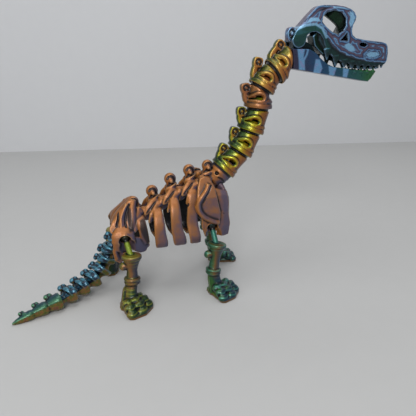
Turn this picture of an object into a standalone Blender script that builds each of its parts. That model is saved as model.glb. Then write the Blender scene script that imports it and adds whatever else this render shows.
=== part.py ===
# Articulated long-necked dinosaur skeleton, a desk toy printed in one go from
# silk multicolour filament.  Every link is one solid.  The links hang together
# on ball joints, and each ball sits loose in the socket of its neighbour.
#
# Frame: millimetres below, metres in the scene.  +X runs to the head, +Y to
# the animal's left, +Z up.  The toy stands with its soles on Z = 0.

import math

import bmesh
import bpy
from mathutils import Matrix, Vector

MM = 0.001

# ---------------------------------------------------------------- dimensions
# The plan centre of the whole toy, taken off every coordinate below.
CENTRE_X = 70.31
CENTRE_Y = -3.23

# Neck: ball centres from the chest to the jaw, and each skirt's lean (degrees
# above the horizon).
NECK_BALLS = [(88.4, 106.6), (103.5, 122.4), (112.8, 140.2), (119.0, 160.1),
              (121.9, 176.3), (133.4, 188.7)]
NECK_LEAN = [47.0, 57.0, 71.0, 84.0, 59.0, 37.0]
# Each hook's round head: how far along its link and how far behind the axis.
NECK_HOOKS = [(12.9, 12.8), (10.7, 13.8), (12.3, 13.8), (13.8, 13.8), (14.3, 14.3),
              (14.6, 15.0)]
NECK_SKIRT_R = 12.5
NECK_BALL_R = 10.8
NECK_SOCKET_R = 11.6
NECK_WAIST_R = 10.5
NECK_SIDES = 12

# Head: the ball that carries the jaw, and the pin that the skull turns on.
HEAD_BALL = (151.5, 199.4)
HEAD_BALL_R = 6.2
HEAD_SOCKET_R = 6.9
SKULL_PIN = (150.2, 213.4)
PIN_R = 1.7
LOBE_R = 6.3
SKULL_HALF = 9.0
SKULL_WALL = 2.4

# Trunk: ball centres from the chest back to the pelvis.
TRUNK_BALLS = [(64.5, 91.5), (47.6, 86.0), (31.0, 78.6), (16.0, 70.0)]
TRUNK_BALL_R = 4.0
TRUNK_SOCKET_R = 5.2
TRUNK_CUP_R = 6.6
SPINE_TIPS = [(56.2, 112.0), (39.0, 105.4), (22.6, 95.6)]
RIB_HALF = 23.0
RIB_FLOOR = 45.6
# Each rib's middle at half height and at the foot, from front to back.
RIB_FEET = [(54.3, 58.2), (40.0, 43.6), (25.8, 27.8)]
# How far each rib's top stands ahead of its root, and how far its flank is
# tucked in: the first one passes inside the shoulder blade.
RIB_SHIFT = [-0.8, -0.8, 1.0]
RIB_TUCK = [3.4, 0.0, 0.0]

# Tail: ball centres from the pelvis to the tip, and the flare of each link.
TAIL_BALLS = [(-8.5, 1.0, 50.5), (-14.8, 0.8, 41.4), (-19.0, 0.0, 31.4),
              (-23.8, -1.8, 22.2), (-31.4, -5.0, 15.2), (-41.2, -10.4, 11.2),
              (-51.2, -16.8, 9.2), (-61.4, -23.4, 7.6)]
TAIL_TIP = (-96.8, -38.6, 1.2)
TAIL_FLARE = [9.4, 10.0, 10.4, 10.6, 10.5, 10.2, 9.7]
TAIL_END_R = 8.8
# How far each tail piece is rolled from upright, so that its flat belly looks to one side.
TAIL_ROLL = [8.0, 14.0, 22.0, 30.0, 36.0, 40.0, 42.0, 42.0]
TAIL_CROWN = 0.82
TAIL_BALL_R = 4.7
TAIL_SOCKET_R = 5.7
TAIL_SIDES = 10

# Legs: one rigid shape for each pair, drawn for the right side and measured
# from the ball's centre: disk, knee, the middle of the toes, toe heading.  The
# far fore foot stands a little further ahead.
FORE_LEG = ((1.3, -12.6, -16.0), (-2.2, -14.4, -38.4), (12.2, -28.6, -60.0), -50.0)
FORE_LEG_AHEAD = ((1.3, -12.6, -16.0), (2.4, -17.6, -38.4), (18.2, -34.6, -60.0), -50.0)
HIND_LEG = ((3.7, -13.8, -13.8), (2.9, -15.6, -33.2), (9.8, -33.4, -56.5), -52.0)
# Each leg: its ball on the trunk, its shape, and how far it is turned about
# the upright through the ball after mirroring.
LEGS = {
    "leg_fore_right": ((72.6, -17.0, 60.0), FORE_LEG, 0.0),
    "leg_hind_right": ((-3.6, -17.0, 56.5), HIND_LEG, 0.0),
    "leg_fore_left": ((72.6, 17.0, 60.0), FORE_LEG_AHEAD, -39.0),
    "leg_hind_left": ((-3.6, 17.0, 56.5), HIND_LEG, 44.0),
}
LEG_BALL_R = 4.3
LEG_SOCKET_R = 5.4
LEG_ROD_R = 2.3
DISK_R = 8.5

# ------------------------------------------------------------------- colours
COPPER = (0.392, 0.174, 0.084)
GOLD = (0.480, 0.330, 0.060)
NAVY = (0.040, 0.090, 0.150)
GREEN = (0.090, 0.200, 0.080)
OLIVE = (0.250, 0.230, 0.050)
SLATE = (0.110, 0.130, 0.220)
TEAL = (0.030, 0.120, 0.130)

FACETS = 12
# Whatever is lower than this is set flat on the floor.
SOLE_BAND = 0.3

# Triangles that each part may keep.
FACES = [("neck_6", 410), ("neck", 340), ("skull", 1040), ("jaw", 520), ("chest", 930),
         ("pelvis", 846), ("rib_link", 474), ("tail_tip", 330), ("tail", 230), ("leg", 340)]


# ------------------------------------------------------------------- helpers
def metres(point):
    """A point in millimetres, moved to the part's own centre, in metres."""
    return Vector(((point[0] - CENTRE_X) * MM, (point[1] - CENTRE_Y) * MM, point[2] * MM))


def side(point, y=0.0):
    """A point drawn in the side view, set at the depth y."""
    return (point[0], y, point[1])


def body_from(bm, name):
    """A mesh object made from a bmesh whose faces are turned outward."""
    bmesh.ops.recalc_face_normals(bm, faces=bm.faces[:])
    mesh = bpy.data.meshes.new(name)
    bm.to_mesh(mesh)
    bm.free()
    item = bpy.data.objects.new(name, mesh)
    bpy.context.scene.collection.objects.link(item)
    return item


def sphere(centre, radius, stretch=(1.0, 1.0, 1.0), sides=FACETS, rings=8, axis=None):
    """A ball, or an ellipsoid along its axis."""
    bm = bmesh.new()
    bmesh.ops.create_uvsphere(bm, u_segments=sides, v_segments=rings, radius=radius * MM)
    bmesh.ops.scale(bm, vec=Vector(stretch), verts=bm.verts[:])
    if axis is not None:
        turn = Vector(axis).to_track_quat("Z", "Y").to_matrix().to_4x4()
        bmesh.ops.transform(bm, matrix=turn, verts=bm.verts[:])
    bmesh.ops.translate(bm, vec=metres(centre), verts=bm.verts[:])
    return body_from(bm, "ball")


def cylinder(start, end, radius, end_radius=None, sides=FACETS):
    """A straight rod, or a cone when its two radii differ."""
    low = metres(start)
    high = metres(end)
    along = high - low
    bm = bmesh.new()
    bmesh.ops.create_cone(bm, cap_ends=True, segments=sides, radius1=radius * MM,
                          radius2=(radius if end_radius is None else end_radius) * MM,
                          depth=along.length)
    turn = along.to_track_quat("Z", "Y").to_matrix().to_4x4()
    bmesh.ops.transform(bm, matrix=Matrix.Translation((low + high) / 2) @ turn, verts=bm.verts[:])
    return body_from(bm, "rod")


def box(low, high):
    """A box between two corners."""
    a = metres(low)
    b = metres(high)
    bm = bmesh.new()
    bmesh.ops.create_cube(bm, size=1.0)
    bmesh.ops.scale(bm, vec=b - a, verts=bm.verts[:])
    bmesh.ops.translate(bm, vec=(a + b) / 2, verts=bm.verts[:])
    return body_from(bm, "box")


def loft(rings):
    """A closed solid through rings of points in millimetres, end to end."""
    bm = bmesh.new()
    rows = []
    for ring in rings:
        rows.append([bm.verts.new(metres(p)) for p in ring])
    count = len(rows[0])
    for one, two in zip(rows, rows[1:]):
        for k in range(count):
            m = (k + 1) % count
            bm.faces.new((one[k], one[m], two[m], two[k]))
    bm.faces.new(list(reversed(rows[0])))
    bm.faces.new(rows[-1])
    return body_from(bm, "loft")


def ring_at(centre, along, across, width, height, sides, power=2.0):
    """One section: width runs on the across direction, height square to it."""
    along = Vector(along).normalized()
    across = (Vector(across) - along * Vector(across).dot(along)).normalized()
    up = along.cross(across)
    out = []
    for k in range(sides):
        a = 2 * math.pi * (k + 0.5) / sides
        c = math.copysign(abs(math.cos(a)) ** (2.0 / power), math.cos(a))
        s = math.copysign(abs(math.sin(a)) ** (2.0 / power), math.sin(a))
        out.append(tuple(Vector(centre) + across * (width * c) + up * (height * s)))
    return out


def sweep(path, widths, heights, across, sides=6, power=2.0):
    """A limb that follows a path, with its own width and height at each point."""
    points = [Vector(p) for p in path]
    rings = []
    for i, p in enumerate(points):
        ahead = points[min(i + 1, len(points) - 1)]
        behind = points[max(i - 1, 0)]
        rings.append(ring_at(p, ahead - behind, across, widths[i], heights[i], sides, power))
    return loft(rings)


def plate(outline, near, far, holes=()):
    """A flat outline in the side view, extruded from y = near to y = far."""
    curve = bpy.data.curves.new("outline", "CURVE")
    curve.dimensions = "2D"
    curve.fill_mode = "BOTH"
    curve.extrude = (far - near) / 2 * MM
    for loop in [outline, *holes]:
        spline = curve.splines.new("POLY")
        spline.points.add(len(loop) - 1)
        for spot, (x, z) in zip(spline.points, loop):
            spot.co = ((x - CENTRE_X) * MM, z * MM, 0.0, 1.0)
        spline.use_cyclic_u = True
    item = bpy.data.objects.new("outline", curve)
    bpy.context.scene.collection.objects.link(item)
    item.rotation_euler = (math.radians(90.0), 0.0, 0.0)
    item.location = (0.0, ((near + far) / 2 - CENTRE_Y) * MM, 0.0)
    bpy.context.view_layer.update()
    seen = item.evaluated_get(bpy.context.evaluated_depsgraph_get())
    mesh = bpy.data.meshes.new_from_object(seen)
    mesh.transform(item.matrix_world)
    bpy.data.objects.remove(item)
    bm = bmesh.new()
    bm.from_mesh(mesh)
    bpy.data.meshes.remove(mesh)
    bmesh.ops.remove_doubles(bm, verts=bm.verts[:], dist=0.00001)
    bmesh.ops.dissolve_limit(bm, angle_limit=0.001, verts=bm.verts[:], edges=bm.edges[:])
    return body_from(bm, "plate")


def bend(item, levels, depth):
    """Leans an upright plate in or out: depth(z) is added to its y at each level."""
    bm = bmesh.new()
    bm.from_mesh(item.data)
    for level in levels:
        bmesh.ops.bisect_plane(bm, geom=bm.verts[:] + bm.edges[:] + bm.faces[:],
                               plane_co=(0.0, 0.0, level * MM), plane_no=(0.0, 0.0, 1.0))
    for vert in bm.verts:
        vert.co.y += depth(vert.co.z / MM) * MM
    bm.to_mesh(item.data)
    bm.free()
    return item


def ramp(z, steps):
    """A value read off a line through (height, value) pairs."""
    for (low, one), (high, two) in zip(steps, steps[1:]):
        if z <= high:
            return one + (two - one) * max(0.0, z - low) / (high - low)
    return steps[-1][1]


def settle(item):
    """Makes the modifiers of an object its real mesh."""
    bpy.context.view_layer.update()
    seen = item.evaluated_get(bpy.context.evaluated_depsgraph_get())
    mesh = bpy.data.meshes.new_from_object(seen)
    old = item.data
    item.modifiers.clear()
    item.data = mesh
    bpy.data.meshes.remove(old)
    return item


def combine(item, others, operation):
    """Unites, cuts or intersects an object with others, one after another."""
    for other in others:
        step = item.modifiers.new("step", "BOOLEAN")
        step.solver = "EXACT"
        step.operation = operation
        step.object = other
        settle(item)
        bpy.data.objects.remove(other)
    return item


def unite(items):
    return combine(items[0], items[1:], "UNION")


def cut(item, cutters):
    return combine(item, cutters, "DIFFERENCE")


def common(item, others):
    return combine(item, others, "INTERSECT")


def mirror_y(item):
    """A copy of an object, mirrored to the other side of the animal."""
    bm = bmesh.new()
    bm.from_mesh(item.data)
    bmesh.ops.scale(bm, vec=Vector((1.0, -1.0, 1.0)), verts=bm.verts[:])
    bmesh.ops.translate(bm, vec=Vector((0.0, -2.0 * CENTRE_Y * MM, 0.0)), verts=bm.verts[:])
    return body_from(bm, item.name)


def melt(items, grain, faces):
    """Fuses overlapping shapes into one soft skin with a set number of faces."""
    bm = bmesh.new()
    for item in items:
        bm.from_mesh(item.data)
        bpy.data.objects.remove(item)
    skin = body_from(bm, "skin")
    soft = skin.modifiers.new("soft", "REMESH")
    soft.mode = "VOXEL"
    soft.voxel_size = grain * MM
    settle(skin)
    total = sum(len(p.vertices) - 2 for p in skin.data.polygons)
    thin = skin.modifiers.new("thin", "DECIMATE")
    thin.ratio = min(1.0, faces / total)
    settle(skin)
    return skin


def finish(item, name, pivot, colour, metal=0.35, rough=0.38):
    """Names a part, sets its origin on its joint, gives it its material and files it."""
    bm = bmesh.new()
    bm.from_mesh(item.data)
    bmesh.ops.remove_doubles(bm, verts=bm.verts[:], dist=0.00002)
    bmesh.ops.dissolve_degenerate(bm, dist=0.00002, edges=bm.edges[:])
    bmesh.ops.triangulate(bm, faces=bm.faces[:])
    total = len(bm.faces)
    bm.to_mesh(item.data)
    bm.free()
    budget = next((n for stem, n in FACES if name.startswith(stem)), total)
    if budget < total:
        thin = item.modifiers.new("thin", "DECIMATE")
        thin.ratio = budget / total
        settle(item)
    for vert in item.data.vertices:
        if vert.co.z < SOLE_BAND * MM:
            vert.co.z = 0.0
    item.data.transform(Matrix.Translation(-metres(pivot)))
    item.location = metres(pivot)
    item.name = name
    item.data.name = name
    skin = bpy.data.materials.new(name + "_silk_pla")
    skin.use_nodes = True
    shader = skin.node_tree.nodes["Principled BSDF"]
    shader.inputs["Base Color"].default_value = (*colour, 1.0)
    shader.inputs["Metallic"].default_value = metal
    shader.inputs["Roughness"].default_value = rough
    item.data.materials.clear()
    item.data.materials.append(skin)
    item.data.shade_smooth()
    item.data.set_sharp_from_angle(angle=math.radians(35.0))
    for home in list(item.users_collection):
        home.objects.unlink(item)
    bpy.data.collections["dinosaur_skeleton"].objects.link(item)
    return item


# ---------------------------------------------------------------------- neck
def lean_vector(angle):
    """The direction in the side plane that rises at this angle to the front."""
    return Vector((math.cos(math.radians(angle)), 0.0, math.sin(math.radians(angle))))


def round_ring(centre, along, radius, sides):
    return ring_at(centre, along, (0.0, 1.0, 0.0), radius, radius, sides)


def dome_rings(centre, along, radius, heights, sides):
    """Rings of latitude on a ball."""
    rings = []
    for h in heights:
        level = math.sqrt(max(radius * radius - h * h, 0.01))
        rings.append(round_ring(Vector(centre) + along * h, along, level, sides))
    return rings


def hook(base, along, dorsal, top, out):
    """The spine of a neck link: a stalk that ends in a flat round head."""
    reach = out - 1.9
    path = [base + dorsal * (reach - 5.0) + along * 1.6,
            base + dorsal * (reach - 0.4) + along * 4.2,
            base + dorsal * (reach + 2.2) + along * (top - 3.6),
            base + dorsal * (reach + 2.0) + along * top]
    stalk = sweep(path, [2.9, 2.7, 2.4, 2.2], [3.0, 2.6, 2.1, 1.8], (0.0, 1.0, 0.0), 6)
    middle = base + dorsal * (reach + 1.9) + along * top
    across = Vector((0.0, 2.7, 0.0))
    head = cylinder(tuple(middle - across), tuple(middle + across), 3.7, sides=9)
    return [stalk, head]


def neck_link(index):
    """A link: a flared skirt with a socket below, a dome on top, a hook behind."""
    low = Vector(side(NECK_BALLS[index]))
    along = lean_vector(NECK_LEAN[index])
    dorsal = Vector((-along.z, 0.0, along.x))
    last = index == len(NECK_BALLS) - 1
    if last:
        high = Vector(side(HEAD_BALL)) - lean_vector(7.0) * 6.7
        ahead = lean_vector(12.0)
    else:
        high = Vector(side(NECK_BALLS[index + 1]))
        ahead = lean_vector(NECK_LEAN[index + 1])
    middle = (along + ahead).normalized()
    sides = NECK_SIDES
    rings = [round_ring(low - along * 1.6, along, NECK_SKIRT_R - 0.3, sides),
             round_ring(low + along * 0.9, along, NECK_SKIRT_R, sides),
             round_ring(low + along * 3.6, along, NECK_SKIRT_R - 0.4, sides),
             round_ring(low + along * 5.4, along, NECK_WAIST_R + 0.7, sides)]
    if last:
        span = high - low
        rings.append(round_ring(low + span * 0.62, middle, NECK_WAIST_R + 0.2, sides))
        rings.append(round_ring(high - ahead * 1.6, ahead, NECK_WAIST_R + 0.4, sides))
        rings.append(round_ring(high, lean_vector(7.0), NECK_WAIST_R - 0.9, sides))
    else:
        half = (low + along * 5.4 + high - ahead * 4.4) / 2
        rings.append(round_ring(half, middle, NECK_WAIST_R + 0.1, sides))
        rings.append(round_ring(high - ahead * 4.2, ahead, NECK_WAIST_R - 0.1, sides))
        rings += dome_rings(high, ahead, NECK_BALL_R, [-1.4, 3.4, 7.4], sides)
    link = loft(rings)
    link = unite([link, *hook(low, along, dorsal, *NECK_HOOKS[index])])
    if last:
        neck = Vector(side(HEAD_BALL))
        start = neck - lean_vector(7.0) * 12.0
        unite([link, cylinder(tuple(start), tuple(neck), 4.3, 3.8, sides=12),
               sphere(tuple(neck), HEAD_BALL_R, sides=12, rings=8, axis=(0, 1, 0))])
    socket = loft(dome_rings(low, along, NECK_SOCKET_R, [-5.5, -2.4, 1.2, 4.8, 8.2, 10.6], sides))
    cut(link, [socket])
    return finish(link, "neck_%d" % (index + 1), tuple(low), COPPER if index > 2 else GOLD, 0.6, 0.3)


# ---------------------------------------------------------------------- head
def skull():
    """Two thin sides under a roof, open to the mouth, with teeth on the gums."""
    px, pz = SKULL_PIN
    lobe = [(px + LOBE_R * math.cos(math.radians(a)), pz + LOBE_R * math.sin(math.radians(a)))
            for a in range(0, -190, -30)]
    roof = [(146.4, 218.6), (152.0, 224.4), (158.6, 231.9), (164.4, 237.6), (167.2, 239.7),
            (172.4, 240.6), (184.0, 240.9), (191.6, 240.0), (197.6, 237.9), (200.8, 235.4),
            (202.2, 232.2), (201.6, 229.0), (199.3, 225.4), (198.5, 221.4), (199.6, 217.8),
            (203.0, 215.4), (212.7, 213.9), (230.0, 212.5), (234.4, 211.5), (236.6, 209.0),
            (237.7, 204.0), (237.6, 197.0)]
    gum = [(235.8, 194.0), (225.0, 192.8), (211.4, 193.2), (199.0, 194.6), (190.6, 196.6),
           (182.4, 200.4), (176.4, 205.0)]
    arch = [(173.8, 209.6), (172.4, 213.6), (169.4, 217.6), (165.2, 219.8), (160.6, 219.3),
            (157.2, 216.8)]
    shell = plate(roof + gum + arch + lobe, -SKULL_HALF, SKULL_HALF)
    common(shell, [loft([[(x, y * k, z + lift * max(0.0, (z - 205.0) / 36.0)) for y, z in part]
                         for x, k, lift, part in SKULL_SKIN])])
    inner = [(136.0, 186.0), (136.0, 208.0), (147.0, 212.0), (154.6, 222.8), (161.0, 230.6),
             (167.4, 236.4), (174.0, 237.6), (184.0, 237.9), (192.0, 236.6), (198.0, 233.2),
             (198.8, 230.6), (195.4, 224.6), (195.0, 219.2), (198.6, 214.2), (205.0, 211.8),
             (229.0, 209.4), (233.2, 207.4), (234.4, 201.0), (233.6, 186.0)]
    core = plate(inner, -SKULL_HALF, SKULL_HALF)
    common(core, [loft([[(x, y * k, z + lift * max(0.0, (z - 205.0) / 36.0)) for y, z in part]
                        for x, k, lift, part in SKULL_CORE])])
    throat = [(138.0, 198.0), (138.0, pz + 3.3)]
    throat += [(px + 5.4 * math.cos(math.radians(a)), pz + 5.4 * math.sin(math.radians(a)))
               for a in (142, 112, 82, 52, 22, -8, -38, -68)]
    unite([core, plate(throat + [(px + 1.9, 198.0)], -5.3, 5.3)])
    cut(shell, [core])
    naris = [(171.4, 231.6), (175.4, 235.0), (182.0, 236.4), (188.2, 235.0), (191.9, 230.6),
             (192.3, 225.2), (190.0, 220.6), (185.4, 218.0), (180.6, 219.4), (174.4, 223.6),
             (170.8, 227.6)]
    slot = [(188.6, 213.4), (193.9, 219.2), (195.4, 213.0)]
    nostril = [(207.0, 210.6), (209.4, 211.9), (213.6, 211.2), (215.3, 209.6), (212.6, 208.2),
               (208.6, 208.8)]
    cut(shell, [plate(hole, -12.0, 12.0) for hole in (naris, slot, nostril)])
    teeth = []
    for x, root, tip, wide in SKULL_TEETH:
        half = SKULL_HALF * (1.0 - 0.16 * max(0.0, x - 200.0) / 43.0) - 1.25
        for hand in (-1.0, 1.0):
            teeth.append(cylinder((x - 0.3, hand * half, root + 1.6), (x, hand * half, tip),
                                  wide, 0.5, sides=5))
    unite([shell, *teeth])
    pins = []
    for hand in (-1.0, 1.0):
        pins.append(cylinder((px, hand * 6.6, pz), (px, hand * 3.1, pz), PIN_R, sides=8))
    unite([shell, *pins])
    return finish(shell, "skull", side(SKULL_PIN), SLATE, 0.5, 0.32)


# The skull's section from the front: leaning sides under a rounded roof.  It is
# narrow behind, full at the eyes and slim at the snout.
ARCH_SECTION = [(-9.0, 185.0), (-9.0, 212.0), (-8.4, 224.0), (-7.2, 232.0), (-5.6, 237.4),
                (-3.0, 240.6), (3.0, 240.6), (5.6, 237.4), (7.2, 232.0), (8.4, 224.0),
                (9.0, 212.0), (9.0, 185.0)]
BACK_SECTION = [(-8.2, 185.0), (-8.2, 212.0), (-8.0, 217.0), (-6.8, 220.4), (-4.6, 224.0),
                (-3.6, 232.0), (3.6, 232.0), (4.6, 224.0), (6.8, 220.4), (8.0, 217.0),
                (8.2, 212.0), (8.2, 185.0)]
SLOPE_SECTION = [(-8.6, 185.0), (-8.6, 212.0), (-8.0, 221.0), (-6.4, 229.0), (-4.6, 234.0),
                 (-3.7, 241.0), (3.7, 241.0), (4.6, 234.0), (6.4, 229.0), (8.0, 221.0),
                 (8.6, 212.0), (8.6, 185.0)]
CORE_SECTION = [(-6.5, 180.0), (-6.5, 213.0), (-5.9, 223.0), (-4.9, 230.0), (-3.2, 234.8),
                (-1.4, 237.6), (1.4, 237.6), (3.2, 234.8), (4.9, 230.0), (5.9, 223.0),
                (6.5, 213.0), (6.5, 180.0)]
BACK_CORE = [(-5.6, 180.0), (-5.6, 211.0), (-5.5, 216.0), (-4.4, 218.6), (-2.2, 221.6),
             (-1.5, 229.0), (1.5, 229.0), (2.2, 221.6), (4.4, 218.6), (5.5, 216.0),
             (5.6, 211.0), (5.6, 180.0)]
SLOPE_CORE = [(-6.1, 180.0), (-6.1, 212.0), (-5.5, 220.0), (-4.0, 227.0), (-2.2, 232.0),
              (-1.5, 238.0), (1.5, 238.0), (2.2, 232.0), (4.0, 227.0), (5.5, 220.0),
              (6.1, 212.0), (6.1, 180.0)]
# Place along the head, width factor, lift of the roof, section.
SKULL_SKIN = [(138.0, 1.0, 0.0, BACK_SECTION), (150.0, 1.0, 0.0, BACK_SECTION),
              (165.0, 1.0, 0.0, SLOPE_SECTION), (182.0, 1.0, 1.0, ARCH_SECTION),
              (200.0, 1.0, 1.0, ARCH_SECTION), (243.0, 0.84, 1.0, ARCH_SECTION)]
SKULL_CORE = [(130.0, 1.0, 0.0, BACK_CORE), (150.0, 1.0, 0.0, BACK_CORE),
              (165.0, 1.0, 0.0, SLOPE_CORE), (182.0, 1.0, 1.0, CORE_SECTION),
              (200.0, 1.0, 1.0, CORE_SECTION), (243.0, 0.78, 1.0, CORE_SECTION)]
# Upper teeth on each side: place, gum height, tip height, half width.
SKULL_TEETH = [(177.4, 204.0, 198.2, 2.5), (186.2, 198.6, 193.2, 2.6), (195.0, 195.4, 191.9, 2.4),
               (202.6, 194.0, 190.9, 2.2), (209.4, 193.4, 190.3, 2.0), (216.0, 193.1, 190.0, 1.9),
               (222.4, 192.9, 190.0, 1.8), (228.0, 193.2, 190.3, 1.7), (233.4, 193.8, 191.2, 1.4)]


def jaw():
    """The lower jaw: a trough with a block behind that holds the neck's ball."""
    outline = [(146.7, 190.5), (222.0, 179.2), (224.6, 182.0), (228.4, 188.6), (226.0, 188.8),
               (215.0, 188.9), (196.0, 190.9), (185.0, 191.9), (177.6, 194.6), (171.0, 199.2),
               (166.0, 203.6), (160.0, 206.2), (146.0, 206.4), (144.8, 206.4)]
    trough = plate(outline, -8.9, 8.9)
    shape = loft([[(138.0, y * 0.98, z) for y, z in JAW_SECTION],
                  [(200.0, y, z) for y, z in JAW_SECTION],
                  [(240.0, y * 0.78, z) for y, z in JAW_SECTION]])
    common(trough, [shape])
    well = plate([(163.0, 230.0), (163.0, 191.6), (219.4, 183.0), (224.6, 188.0), (226.0, 230.0)],
                 -6.2, 6.2)
    narrow = loft([[(150.0, y, z) for y, z in JAW_WELL],
                   [(200.0, y, z) for y, z in JAW_WELL],
                   [(240.0, y * 0.70, z) for y, z in JAW_WELL]])
    common(well, [narrow])
    cut(trough, [well])
    px, pz = SKULL_PIN
    boss = [cylinder((px, -4.9, pz), (px, 4.9, pz), 4.5, sides=12),
            box((px - 3.6, -4.9, 203.0), (px + 4.4, 4.9, pz))]
    unite([trough, *boss])
    teeth = []
    for x in (225.4, 219.3, 212.8, 206.0):
        for hand in (-1.0, 1.0):
            y = hand * (7.4 - 0.045 * (x - 200.0))
            teeth.append(cylinder((x, y, 188.0), (x + 0.1, y, 191.8), 1.5, 0.45, sides=5))
    unite([trough, *teeth])
    cup = sphere(side(HEAD_BALL), HEAD_SOCKET_R, sides=12, rings=8, axis=(0, 1, 0))
    mouth = cylinder(side((137.0, 197.5)), side(HEAD_BALL), 7.4, 4.3, sides=12)
    bores = [cylinder((px, hand * 7.0, pz), (px, hand * 2.6, pz), PIN_R + 0.65, sides=10)
             for hand in (-1.0, 1.0)]
    cut(trough, [cup, mouth, *bores])
    return finish(trough, "jaw", side(HEAD_BALL), TEAL, 0.5, 0.32)


JAW_SECTION = [(-8.6, 208.0), (-8.6, 194.0), (-8.0, 186.0), (-6.6, 178.0), (6.6, 178.0),
               (8.0, 186.0), (8.6, 194.0), (8.6, 208.0)]
JAW_WELL = [(-6.3, 232.0), (-6.1, 194.0), (-5.2, 186.0), (-4.0, 181.0), (4.0, 181.0),
            (5.2, 186.0), (6.1, 194.0), (6.3, 232.0)]


# --------------------------------------------------------------------- trunk
def trunk_ball(index, back):
    """The ball that a link reaches forward into the cup of the link before it."""
    ball = Vector(side(TRUNK_BALLS[index]))
    root = Vector(side(back))
    return [cylinder(tuple(ball), tuple(root), 2.1, 2.9, sides=8),
            sphere(tuple(ball), TRUNK_BALL_R, sides=10, rings=8, axis=tuple(ball - root))]


def trunk_cup(index, front):
    """The round cup at the rear of a link, before it is hollowed."""
    ball = Vector(side(TRUNK_BALLS[index]))
    root = Vector(side(front))
    along = (ball - root).normalized()
    rings = [round_ring(root, along, 4.2, 10)]
    rings += dome_rings(ball, along, TRUNK_CUP_R, [-5.0, -1.5, 2.6], 10)
    return loft(rings)


def trunk_hollow(index, front):
    """The space that the next ball moves in."""
    ball = Vector(side(TRUNK_BALLS[index]))
    along = (ball - Vector(side(front))).normalized()
    inner = loft(dome_rings(ball, along, TRUNK_SOCKET_R, [-4.4, -2.6, 0.4, 3.2, 4.3], 10))
    return inner


def trunk_room(index):
    """The space that a link leaves free round the cup of the link before it."""
    ball = Vector(side(TRUNK_BALLS[index]))
    ahead = ball - Vector(side(TRUNK_BALLS[index + 1])) if index < 3 else Vector((1.0, 0.0, 0.5))
    ahead = ahead.normalized()
    return [sphere(tuple(ball), TRUNK_CUP_R + 1.0, sides=12, rings=8, axis=tuple(ahead)),
            cylinder(tuple(ball), tuple(ball + ahead * 12.0), TRUNK_CUP_R + 0.9, sides=12)]


def spine(root, tip, head=4.6):
    """A spine with a round head that stands on a link's back."""
    a = Vector(side(root))
    b = Vector(side(tip))
    up = (b - a).normalized()
    neck = b - up * (head * 1.9)
    stalk = sweep([a, (a + neck) / 2, neck, b - up * head], [4.4, 3.4, 2.7, 2.8],
                  [5.6, 4.4, 3.9, 4.0], (0.0, 1.0, 0.0), 8)
    knob = sphere(tuple(b - up * head), head, (1.0, 0.78, 1.0), 10, 7)
    return [stalk, knob]


def rib(top, mid, foot, tuck):
    """One flat rib: out from the back, down the flank and in under the belly."""
    height = top[1] - RIB_FLOOR
    path = []
    for y, fall in ((5.0, 0.02), (12.0, -0.01), (18.4 - tuck * 0.6, 0.10), (22.0 - tuck, 0.30),
                    (RIB_HALF - tuck, 0.55), (22.0, 0.80), (17.6, 0.95), (9.0, 1.0)):
        lean = top[0] + (mid - top[0]) * min(1.0, fall * 2.0)
        if fall > 0.5:
            lean = mid + (foot - mid) * (fall - 0.5) * 2.0
        path.append((lean, -y, top[1] - height * fall))
    return sweep(path, [4.0, 4.3, 4.6, 4.8, 5.0, 5.4, 5.4, 4.0],
                 [2.2, 2.1, 1.8, 1.6, 1.5, 1.5, 1.5, 1.3], (1.0, 0.0, 0.0), 8, 3.0)


def rib_link(index):
    """A back link: column, spine, side processes and a pair of ribs."""
    front = Vector(side(TRUNK_BALLS[index]))
    rear = Vector(side(TRUNK_BALLS[index + 1]))
    middle = (front + rear) / 2
    along = (rear - front).normalized()
    start = front + along * 7.4
    mass = [cylinder(tuple(start), tuple(rear - along * 3.4), 4.6, 5.2, sides=10),
            *spine((start.x + 0.4, start.z + 1.0), SPINE_TIPS[index], 5.3)]
    near = rib((start.x + RIB_SHIFT[index], start.z + 1.2), *RIB_FEET[index], RIB_TUCK[index])
    wing = sweep([(start.x - 0.4, -1.0, start.z + 7.6), (start.x - 2.6, -8.0, start.z + 6.0),
                  (start.x - 4.4, -15.0, start.z + 1.0), (start.x - 3.6, -19.6, start.z - 5.6),
                  (start.x - 2.6, -21.4, start.z - 9.6)],
                 [4.6, 5.4, 5.2, 3.8, 1.4], [2.0, 2.8, 2.8, 2.2, 1.0], (1.0, 0.0, 0.0), 8)
    mass += both([near, wing])
    body = melt(mass, 0.79, 430)
    room = trunk_room(index)
    if index == 0:
        gap = plate(BLADE_GAP, -14.0, 2.7)
        room += both([bend(gap, BLADE_LEVELS, blade_depth)])
    cut(body, room)
    unite([body, trunk_cup(index + 1, (middle.x, middle.z)),
           *trunk_ball(index, (start.x - 1.0, start.z - 0.4))])
    cut(body, [trunk_hollow(index + 1, (middle.x, middle.z))])
    return finish(body, "rib_link_%d" % (index + 1), tuple(front), COPPER, 0.25, 0.45)


def both(items):
    """The shapes and their mirror images."""
    return items + [mirror_y(item) for item in items]


# The shoulder blade's outline from the side, and the space kept free round it.
BLADE = [(66.2, 104.6), (70.6, 103.2), (74.4, 95.6), (76.0, 85.0), (78.6, 74.0),
         (78.4, 66.0), (75.0, 61.4), (64.0, 68.2), (57.4, 75.2), (55.6, 80.6),
         (57.8, 87.4), (59.6, 97.2), (62.0, 102.8)]
BLADE_GAP = [(66.2, 108.0), (80.0, 104.0), (80.0, 58.0), (74.0, 58.6), (62.6, 66.2),
             (55.4, 73.6), (53.6, 80.6), (55.8, 88.2), (57.8, 98.0), (60.4, 106.0)]
BLADE_LEVELS = (68, 76, 84, 92, 98)


def blade_depth(z):
    """How far out the shoulder blade stands at a height."""
    return -ramp(z, [(60, 22.8), (76, 24.0), (88, 23.4), (97, 20.0), (105, 14.8)])


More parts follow.
